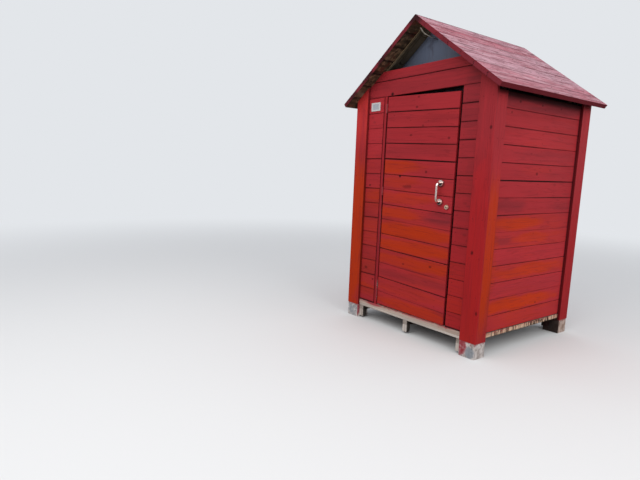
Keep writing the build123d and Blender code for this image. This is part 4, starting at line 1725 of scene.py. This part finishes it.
@dataclass
class Trim:
    """Corner boards, hinge strip, frame timbers and feet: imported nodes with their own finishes."""

    sill_face: float = -0.682
    stain_depth: float = 0.020
    lit_end: float = 0.002

    def build(self) -> None:
        """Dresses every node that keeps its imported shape."""
        self.corners()
        self.frame_timbers()
        self.floor_timbers()
        self.feet()

    def corners(self) -> None:
        """The corner boards and the hinge strip."""
        front = RedStain(
            "front_corner_boards",
            GrainSource.ALONG_Z,
            warm_areas=on_front(
                (-0.67, 1.90, 0.25, 0.6, 0.30), (-0.67, 0.72, 0.25, 1.15, 1.05),
                (0.66, 0.45, 0.2, 0.85, 0.34),
            ),
            deep_areas=on_front((0.66, 0.75, 0.3, 1.1, 0.75)),
            bright_areas=on_front((-0.67, 1.95, 0.25, 0.40, 0.28)),
            dull_and_shade_areas=on_front((0.61, 1.50, 0.05, 0.40, 0.35), (0.66, 1.95, 0.2, 0.5, 0.45)),
            # Dark lines along the boards' inner edges: dirt, and painted shade where they meet the panels.
            stain_and_painted_light_areas=on_front(
                (-0.580, 1.1, 0.007, 5.0, 0.6), (0.580, 1.1, 0.007, 5.0, 0.5),
                ragged=False,
            ),
            knots=on_front(
                (0.698, 1.744, 0.014, 0.020, 0.75), (0.632, 0.821, 0.016, 0.022, 0.75),
                (0.712, 0.366, 0.014, 0.022, 0.7),
                ragged=False,
            ),
        )
        side = RedStain(
            "side_corner_boards",
            GrainSource.ALONG_Z,
            warm_areas=on_right((-0.63, 0.82, 0.22, 0.84, 0.84)),
            deep_areas=on_right((0.62, 0.5, 0.2, 1.0, 0.6)),
            bright_areas=on_right((-0.63, 1.3, 0.3, 1.2, 0.07)),
            dull_and_shade_areas=on_right((-0.62, 1.75, 0.2, 0.3, 0.25)),
            # Painted shade: the boards' tops under the eave, and their inner edges beside the wall, darkest
            # on the rear board's narrow edge.
            stain_and_painted_light_areas=(
                on_right(
                    (-0.62, 2.04, 0.4, 0.075, 0.95), (0.62, 2.08, 0.4, 0.10, 0.9),
                    (0.5645, 1.1, 0.003, 5.0, 0.7), (-0.563, 1.1, 0.008, 5.0, 0.4),
                    ragged=False,
                )
                + (Patch((0.700, 0.565, 1.1), (0.018, 0.006, 5.0), 0.9, False),)
            ),
        )
        dress(front.material(), "corner_boards_front", "corner_boards_rear")
        dress(side.material(), "corner_boards_left", "corner_boards_right")
        strip = RedStain(
            "hinge_strip_red",
            GrainSource.ALONG_Z,
            cool="#982329",
            worn=on_front((-0.359, 0.32, 0.004, 0.13, 0.8), (-0.359, 0.95, 0.003, 0.5, 0.15), ragged=False),
            stain_and_painted_light_areas=on_front(
                (-0.3865, 1.1, 0.005, 5.0, 0.35), (-0.3565, 1.5, 0.006, 0.9, 0.7),
                ragged=False,
            ),
        )
        dress(strip.material(), "hinge_strip")

    def frame_timbers(self) -> None:
        """The posts, studs, plates, ties and rafters behind the boards."""
        # Painted shade: the doorway's uprights and header darkened near the door, and the plates and rafters
        # darkened on their outer faces in the gaps under the eaves.
        dim = (Patch((0.04, -0.66, 1.1), (5.0, 0.085, 5.0), 1.0, False),)
        outer = tuple(Patch((side * 0.70, 0.0, 2.0), (0.05, 5.0, 5.0), 1.0, False) for side in (-1, 1))
        x, y, z = GrainSource.ALONG_X, GrainSource.ALONG_Y, GrainSource.ALONG_Z
        posts = ("post_front_left", "post_front_right", "post_rear_left", "post_rear_right")
        # The battens' dark tones are painted shade under the roof's overhang, and their pale top line is a
        # painted highlight.
        batten = BareTimber("batten_timbers", x, "#665a48", "#4a4032", "#585144", 0.4, painted_highlight_above=2.604)
        for timber, nodes in (
            (BareTimber("upright_timbers", z), (*posts, "side_wall_studs", "rear_wall_studs")),
            (BareTimber("doorway_uprights", z, stain_and_painted_light="#260a0c", stain_and_painted_light_areas=dim), ("door_posts", "door_stop")),
            (BareTimber("doorway_header", x, stain_and_painted_light_areas=dim), ("door_header",)),
            (BareTimber("plate_timbers", y, stain_and_painted_light_areas=outer), ("wall_plate_left", "wall_plate_right")),
            (BareTimber("cross_timbers", x), ("tie_beams", "door_ledges", "door_braces")),
            (BareTimber("rafter_timbers", x, stain_and_painted_light_areas=outer), ("rafters_left", "rafters_right")),
            (batten, ("gable_battens_front", "gable_battens_rear")),
            (GreySheet(), ("gable_panel_front", "gable_panel_rear")),
        ):
            dress(timber.material(), *nodes)

    def floor_timbers(self) -> None:
        """The sill board, the joists and their short legs."""
        stains = tuple(
            Patch((x, self.sill_face, z), (wide, self.stain_depth, tall), amount, False)
            for x, z, wide, tall, amount in (
                (-0.39, 0.174, 0.15, 0.026, 0.95),
                (-0.54, 0.180, 0.10, 0.016, 0.45),
                (-0.12, 0.183, 0.16, 0.018, 0.55),
                (0.14, 0.182, 0.28, 0.020, 0.75),
                (0.42, 0.182, 0.13, 0.018, 0.7),
            )
        )
        tones = ("#c6b0a0", "#967f70", "#b29f92")
        sill = BareTimber("sill_board", GrainSource.ALONG_X, *tones, 0.6, 0.188, 0.024, "#a9444b", stains)
        dress(sill.material(), "front_sill")
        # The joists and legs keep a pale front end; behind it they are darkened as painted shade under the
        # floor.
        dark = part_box("floor_joists")[1].y - self.lit_end
        for name, along, tones, node in (
            ("joist_timbers", GrainSource.ALONG_Y, ("#b3a79c", "#857769", "#9d958d"), "floor_joists"),
            ("joist_leg_timbers", GrainSource.ALONG_Z, ("#d6cbc0", "#a3968a", "#beb5ad"), "joist_legs"),
        ):
            dress(BareTimber(name, along, *tones, 0.6, painted_shade_within=dark).material(), node)

    def feet(self) -> None:
        """The four block feet, each with its primed patch and its red run-off."""
        plain = Patch(ZERO, (0.05, 0.012, 0.06), 0.5, False)
        for name, primed, red, spread, wash in (
            ("foot_front_left", Patch((-0.02, 0.0, 0.02), (0.16, 0.012, 0.14), 0.62), 0.067, 0.006, 0.9),
            ("foot_front_right", Patch((0.028, 0.0, -0.016), (0.064, 0.012, 0.07)), -0.046, 0.062, 0.8),
            ("foot_rear_left", plain, 0.04, 0.04, 0.3),
            ("foot_rear_right", plain, -0.04, 0.04, 0.3),
        ):
            low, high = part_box(name)
            front = Vector(((low.x + high.x) / 2, low.y, (low.z + high.z) / 2))
            grey = Patch(tuple(front + Vector(primed.centre)), primed.reach, primed.amount, False)
            run = Patch((front.x + red, front.y, front.z + 0.015), (spread, 0.05, 0.10), 1.0, False)
            tones: tuple = ("#d3cac4", "#a89c95")
            # The rear feet take darker tones, and painted shade on their front faces under the floor.
            if name.startswith("foot_rear"):
                tones = ("#c6afa2", "#967c6d", (Patch(tuple(front), (0.22, 0.014, 0.22), 0.92, False),))
            dress(FootPaint(f"{name}_paint", grey, run, wash, *tones).material(), name)


@dataclass
class Ironwork:
    """Hinges, pull handle, lock and the blank plate."""

    shade_reach: Triple = (0.026, 0.014, 0.024)
    shade_shift: Triple = (-0.003, -0.005, -0.003)
    rose_inset: float = 0.004

    def build(self) -> None:
        """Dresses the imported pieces."""
        low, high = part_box("door_handle")
        x, reach = (low.x + high.x) / 2, (high.x - low.x) / 2
        roses = [Vector((x, high.y, z - self.rose_inset)) for z in (low.z + reach, high.z - reach)]
        # Painted shade round the root of the grip on both roses, set a little off each rose's centre.
        shift = Vector(self.shade_shift)
        shade = tuple(Patch(tuple(rose + shift), self.shade_reach, 1.0, False) for rose in roses)
        dress(BrightMetal("polished_pull", "#fae9e2", 0.10, keyhole_and_shade=shade).material(), "door_handle")
        low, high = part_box("lock_escutcheon")
        middle = (low + high) / 2
        slot = Patch((middle.x, low.y, middle.z - 0.002), (0.006, 0.02, 0.010), 1.0, False)
        dress(BrightMetal("lock_face", "#e6c8b2", 0.5, keyhole_and_shade=(slot,)).material(), "lock_escutcheon")
        hinges = BrightMetal("hinge_steel", "#8f7f7b", 0.5, 1.0, 0.22)
        dress(hinges.material(), "hinges_frame_side", "hinges_leaf_side")
        low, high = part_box("blank_plate")
        dress(PlateEnamel("plate_enamel", tuple((low + high) / 2)).material(), "blank_plate")


@dataclass(frozen=True)
class Line:
    """A number of places in a straight line, and the way from one to the next."""

    count: int = 1
    step: Triple = ZERO


@dataclass
class NailHeads:
    """The nails that hold the boards to the timbers behind them."""

    finishes: Finishes
    walls: BoardedWalls
    roof: BoardedRoof
    deck: DeckBoards
    door: SaggedDoor
    tree: NailGrid
    nail: Piece | None = None
    radius: float = 0.0032
    proud: float = 0.0010
    rim: float = 0.4
    crown: float = 0.72
    shank: float = 0.004
    sides: int = 8
    play: Triple = (0.003, 0.003, 0.003)
    pair: float = 0.07
    side_drop: float = 0.033
    wall_rows: int = 14
    front_studs: tuple[float, float] = (-0.400, 0.460)
    rear_stud: float = 0.235
    head_start: float = -0.38
    head_rise: float = 0.022
    head_pair: float = 0.035
    head_line: Line = Line(5, (0.21, 0.0, 0.0))
    top_start: tuple[float, float] = (-0.43, 2.225)
    top_pair: Triple = (0.03, 0.0, 0.025)
    top_line: Line = Line(2, (0.86, 0.0, 0.0))
    corner_x: float = 0.695
    corner_y: float = 0.6525
    corner_pair_x: float = 0.08
    corner_pair_y: float = 0.06
    corner_start: float = 0.19
    corner_lines: Line = Line(7, (0.0, 0.0, 0.296))
    rafter_ys: tuple[float, ...] = (0.637, 0.487, 0.0)
    joist_x: float = 0.5595
    short_pair: float = 0.05
    leaf_start: tuple[float, float] = (-0.265, 0.345)
    leaf_rows: Line = Line(3, (0.0, 0.0, 0.755))
    leaf_lanes: Line = Line(4, (0.19, 0.0, 0.0))

    def build(self) -> None:
        """Nails the walls, the corner boards, the roof, the floor and the door."""
        self.nail = self.head()
        settle(joined("wall_nails", [*self.wall_nails(), *self.corner_nails()]), "hut", "wall_red")
        settle(joined("roof_and_floor_nails", [*self.roof_nails(), self.floor_nails()]), "hut", "roof_red")
        door = self.door_nails()
        door.name = "door_nails"
        settle(door, "door", "door_red")
        drop(self.nail)

    def head(self) -> Piece:
        """One domed nail head.

        Returns:
            The head, looking towards -y.
        """
        turns = [2 * math.pi * i / self.sides for i in range(self.sides)]
        rims = ((1.0, self.shank), (1.0, -self.proud * self.rim), (self.crown, -self.proud))
        loops = []
        for share, depth in rims:
            r = self.radius * share
            loops.append([(r * math.cos(a), depth, r * math.sin(a)) for a in turns])
        return tube("one_nail", loops)

    def grid(
        self, first: Triple, pair: Triple, rows: Line, lanes: Line, turn: Triple, rusty: bool = False
    ) -> Piece:
        """One grid of nail pairs.

        Args:
            first: Place of the first nail.
            pair: Way from it to the second of its pair.
            rows: The line of pairs.
            lanes: The line of such lines.
            turn: Turn that carries a nail from the front to this face.
            rusty: Whether they are bare and rusty, not stained with the wall.

        Returns:
            The nails, in place.
        """
        flat = Euler(turn).to_matrix() @ Vector((self.play[0], 0.0, self.play[2]))
        return self.tree.grow(
            "nails",
            Nail=self.nail,
            First=first,
            Pair=pair,
            Rows=rows.count,
            Row_step=rows.step,
            Lanes=lanes.count,
            Lane_step=lanes.step,
            Turn=turn,
            Play=tuple(abs(v) for v in flat),
            Seed=int(1000 * abs(first[0] + first[1])) + rows.count,
            Finish=self.finishes.rusty_nail if rusty else self.finishes.nail,
        )

    def wall_nails(self) -> list[Piece]:
        """Nails of the four walls, two to a board over each stud.

        Returns:
            One grid for each stud or pair of studs.
        """
        walls, count = self.walls, self.wall_rows
        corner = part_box("front_left_panel")[0]
        foot, face, flank = corner.z, corner.y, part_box("right_wall")[1].x
        low = foot + walls.front_cover / 2 - self.pair / 2
        high = foot + walls.side_start + walls.side_cover / 2 - self.side_drop
        front_rows = Line(count, (0.0, 0.0, walls.front_cover))
        side_rows = Line(count, (0.0, 0.0, walls.side_cover))
        up, flat, rear = (0.0, 0.0, self.pair), tuple(Facing.FRONT.turn), tuple(Facing.REAR.turn)
        head = (self.head_start, face, foot + count * walls.front_cover + self.head_rise)
        top = (self.top_start[0], face, self.top_start[1])
        rear_lanes = Line(2, (2 * self.rear_stud, 0.0, 0.0))
        made = [self.grid((x, face, low), up, front_rows, Line(), flat) for x in self.front_studs]
        made.append(self.grid(head, (0.0, 0.0, self.head_pair), Line(), self.head_line, flat))
        made.append(self.grid(top, self.top_pair, Line(), self.top_line, flat))
        made.append(self.grid((-self.rear_stud, -face, low), up, front_rows, rear_lanes, rear))
        for x, facing in ((-flank, Facing.LEFT), (flank, Facing.RIGHT)):
            made.append(self.grid((x, 0.0, high), up, side_rows, Line(), tuple(facing.turn)))
        return made

    def corner_nails(self) -> list[Piece]:
        """Nails of the corner boards, in pairs up their height.

        Returns:
            One grid for each wall.
        """
        low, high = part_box("corner_boards_front")
        pair_x, pair_y = (self.corner_pair_x, 0.0, 0.0), (0.0, self.corner_pair_y, 0.0)
        across = Line(2, (2 * self.corner_x - self.corner_pair_x, 0.0, 0.0))
        deep = Line(2, (0.0, 2 * self.corner_y - self.corner_pair_y, 0.0))
        made = []
        for y, facing in ((low.y, Facing.FRONT), (-low.y, Facing.REAR)):
            first = (-self.corner_x, y, self.corner_start)
            made.append(self.grid(first, pair_x, self.corner_lines, across, tuple(facing.turn)))
        for x, facing in ((low.x, Facing.LEFT), (high.x, Facing.RIGHT)):
            first = (x, -self.corner_y, self.corner_start)
            made.append(self.grid(first, pair_y, self.corner_lines, deep, tuple(facing.turn)))
        return made

    def roof_nails(self) -> list[Piece]:
        """Nails of both slopes, over the rafters and the gable battens.

        Returns:
            One grid for each pair of rafters and one for the middle rafter, on each slope.
        """
        made = []
        cover, count, trim = self.roof.cover, self.roof.rows, self.roof.eave_trim
        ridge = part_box("roof_right_slope")[1].z
        for slope in (Slope(-1), Slope(1)):
            rows, pair = Line(count, tuple(slope.up * cover)), tuple(slope.up * self.pair)
            for y in self.rafter_ys:
                first = Vector((0.0, -y, ridge)) - slope.up * (count * cover - trim - self.pair / 2)
                lanes = Line(2, (0.0, 2 * y, 0.0)) if y else Line()
                made.append(self.grid(tuple(first), pair, rows, lanes, slope.turn, rusty=True))
        return made

    def floor_nails(self) -> Piece:
        """Nails of the full floor boards, over the three joists.

        Returns:
            The nails.
        """
        cover = self.deck.full_cover
        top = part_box("floor_deck")[1].z - self.deck.sunk
        first = (-self.joist_x, -self.deck.full_y + cover / 2 - self.short_pair / 2, top)
        rows, lanes = Line(self.deck.full_rows, (0.0, cover, 0.0)), Line(3, (self.joist_x, 0.0, 0.0))
        return self.grid(first, (0.0, self.short_pair, 0.0), rows, lanes, FACE_UP, rusty=True)

    def door_nails(self) -> Piece:
        """Nails of the leaf, over its ledges and with its slant.

        Returns:
            The nails.
        """
        x, z = self.leaf_start
        first = (x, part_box("door_leaf")[0].y, z)
        made = self.grid(first, (0.0, 0.0, self.short_pair), self.leaf_rows, self.leaf_lanes, ZERO)
        made.data.transform(self.door.lean())
        return made


@dataclass
class PeeledStrip:
    """A thin strip that peeled off the gable sheet's edge and curls under the peak of the roof."""

    points: tuple[Triple, ...] = (
        (-0.033, -0.684, 2.579),
        (-0.021, -0.668, 2.553),
        (-0.009, -0.650, 2.533),
        (0.003, -0.625, 2.520),
        (0.009, -0.595, 2.512),
        (0.017, -0.562, 2.506),
        (0.026, -0.532, 2.502),
    )
    width: float = 0.010
    thickness: float = 0.002
    taper: float = 0.3
    rings: int = 28
    seen_from: Triple = (0.63, -0.74, -0.25)

    def build(self) -> None:
        """Sweeps the strip along its curl."""
        last = self.rings - 1
        path = [self.at(i / last) for i in range(self.rings)]
        loops = []
        for i, place in enumerate(path):
            ahead = (path[min(i + 1, last)] - path[max(i - 1, 0)]).normalized()
            side = ahead.cross(Vector(self.seen_from)).normalized()
            wide = side * self.width * (0.5 - self.taper * i / self.rings)
            thick = side.cross(ahead) * self.thickness / 2
            corners = ((wide, thick), (wide, -thick), (-wide, -thick), (-wide, thick))
            loops.append([place + a + b for a, b in corners])
        made = tube("peeled_strip", loops)
        end = (Patch(self.points[-1], (0.075, 0.075, 0.075), 1.0, False),)
        along = GrainSource.ALONG_Y
        finish = BareTimber(
            "peeled_strip_face", along, "#ddd8cc", "#b9b0a0", "#c9c3b8", 0.5, stain_and_painted_light="#2a2522", stain_and_painted_light_areas=end
        )
        made.data.materials.append(finish.material())
        settle(made, "hut", "frame_wood")

    def at(self, share: float) -> Vector:
        """A point of the smooth curve through the strip's points.

        Args:
            share: 0 at the first point, 1 at the last.

        Returns:
            The place.
        """
        knots = [Vector(p) for p in self.points]
        spot = share * (len(knots) - 1)
        i = min(int(spot), len(knots) - 2)
        t = spot - i
        before, one, two = knots[max(i - 1, 0)], knots[i], knots[i + 1]
        after = knots[min(i + 2, len(knots) - 1)]
        drift = (two - before) * t + (2 * before - 5 * one + 4 * two - after) * t * t
        return one + 0.5 * (drift + (3 * one - before - 3 * two + after) * t**3)


@dataclass
class Studio:
    """Floor, light and camera."""

    camera_place: Triple = (2.8030, -3.8865, 1.3790)
    camera_right: Triple = (0.56934, 0.82158, 0.02928)
    camera_up: Triple = (-0.13952, 0.06146, 0.98831)
    lens: float = 27.191
    shift: tuple[float, float] = (0.04528, 0.00931)
    floor_reach: float = 60.0
    sky_light: float = 0.80
    key_power: float = 186.0
    lamp_aim: Triple = (0.0, 0.0, 1.2)
    backdrop: str = "#e3e6ea"

    def build(self) -> None:
        """Sets the stage."""
        self.floor()
        self.world()
        self.lamps()
        self.camera()

    def floor(self) -> None:
        """A plain pale floor."""
        mesh = bpy.data.meshes.new("floor")
        r = self.floor_reach
        mesh.from_pydata([(-r, -r, 0.0), (r, -r, 0.0), (r, r, 0.0), (-r, r, 0.0)], [], [(0, 1, 2, 3)])
        mesh.materials.append(PaleFloor(self.backdrop).material())
        made = placed("floor", mesh)

    def world(self) -> None:
        """An even pale sky, with its own plain tone where it is seen."""
        world = bpy.data.worlds.new("even_sky")
        bpy.context.scene.world = world
        world.use_nodes = True
        w = Wiring(world.node_tree)
        w.tree.nodes.clear()
        light = w.out("ShaderNodeBackground", {"Color": colour("#f2f6ff"), "Strength": self.sky_light})
        seen = w.out("ShaderNodeBackground", {"Color": colour(self.backdrop), "Strength": 1.0})
        path = w.node("ShaderNodeLightPath").outputs
        shown = w.math("MAXIMUM", path["Is Camera Ray"], path["Is Glossy Ray"])
        shown = w.math("MAXIMUM", shown, path["Is Transmission Ray"])
        both = w.out("ShaderNodeMixShader", {0: shown, 1: light, 2: seen})
        w.node("ShaderNodeOutputWorld", {"Surface": both})

    def lamps(self) -> None:
        """Large soft lamps over the front and the right."""
        for name, place, size, power in (
            ("front_sky", (0.8, -5.0, 5.2), 6.0, self.key_power),
            ("right_sky", (5.2, -0.6, 4.6), 5.0, self.key_power * 0.7),
        ):
            lamp = bpy.data.lights.new(name, "AREA")
            lamp.shape = "DISK"
            lamp.size = size
            lamp.energy = power
            made = placed(name, lamp)
            made.location = place
            way = Vector(self.lamp_aim) - Vector(place)
            made.rotation_euler = way.to_track_quat("-Z", "Y").to_euler()

    def camera(self) -> None:
        """The photograph's view."""
        lens = bpy.data.cameras.new("camera")
        lens.sensor_fit = "HORIZONTAL"
        lens.sensor_width = 36.0
        lens.lens = self.lens
        lens.shift_x, lens.shift_y = self.shift
        made = placed("camera", lens)
        right, up = Vector(self.camera_right), Vector(self.camera_up)
        turned = Matrix((right, up, right.cross(up))).transposed().to_4x4()
        made.matrix_world = Matrix.Translation(self.camera_place) @ turned
        bpy.context.scene.camera = made


def main() -> None:
    """Builds the hut's pieces in order."""
    logging.basicConfig(level=logging.INFO, format="%(name)s: %(message)s")
    bpy.context.scene.view_settings.view_transform = "Standard"
    finishes = Finishes.mixed()
    rows_tree = BoardRows()
    walls = BoardedWalls(finishes, rows_tree)
    roof = BoardedRoof(rows_tree)
    deck = DeckBoards(rows_tree)
    door = SaggedDoor(finishes, rows_tree)
    nails = NailHeads(finishes, walls, roof, deck, door, NailGrid())
    for sub_assembly in (walls, roof, deck, door, Trim(), Ironwork(), nails, PeeledStrip(), Studio()):
        sub_assembly.build()


if __name__ == "__main__":
    main()
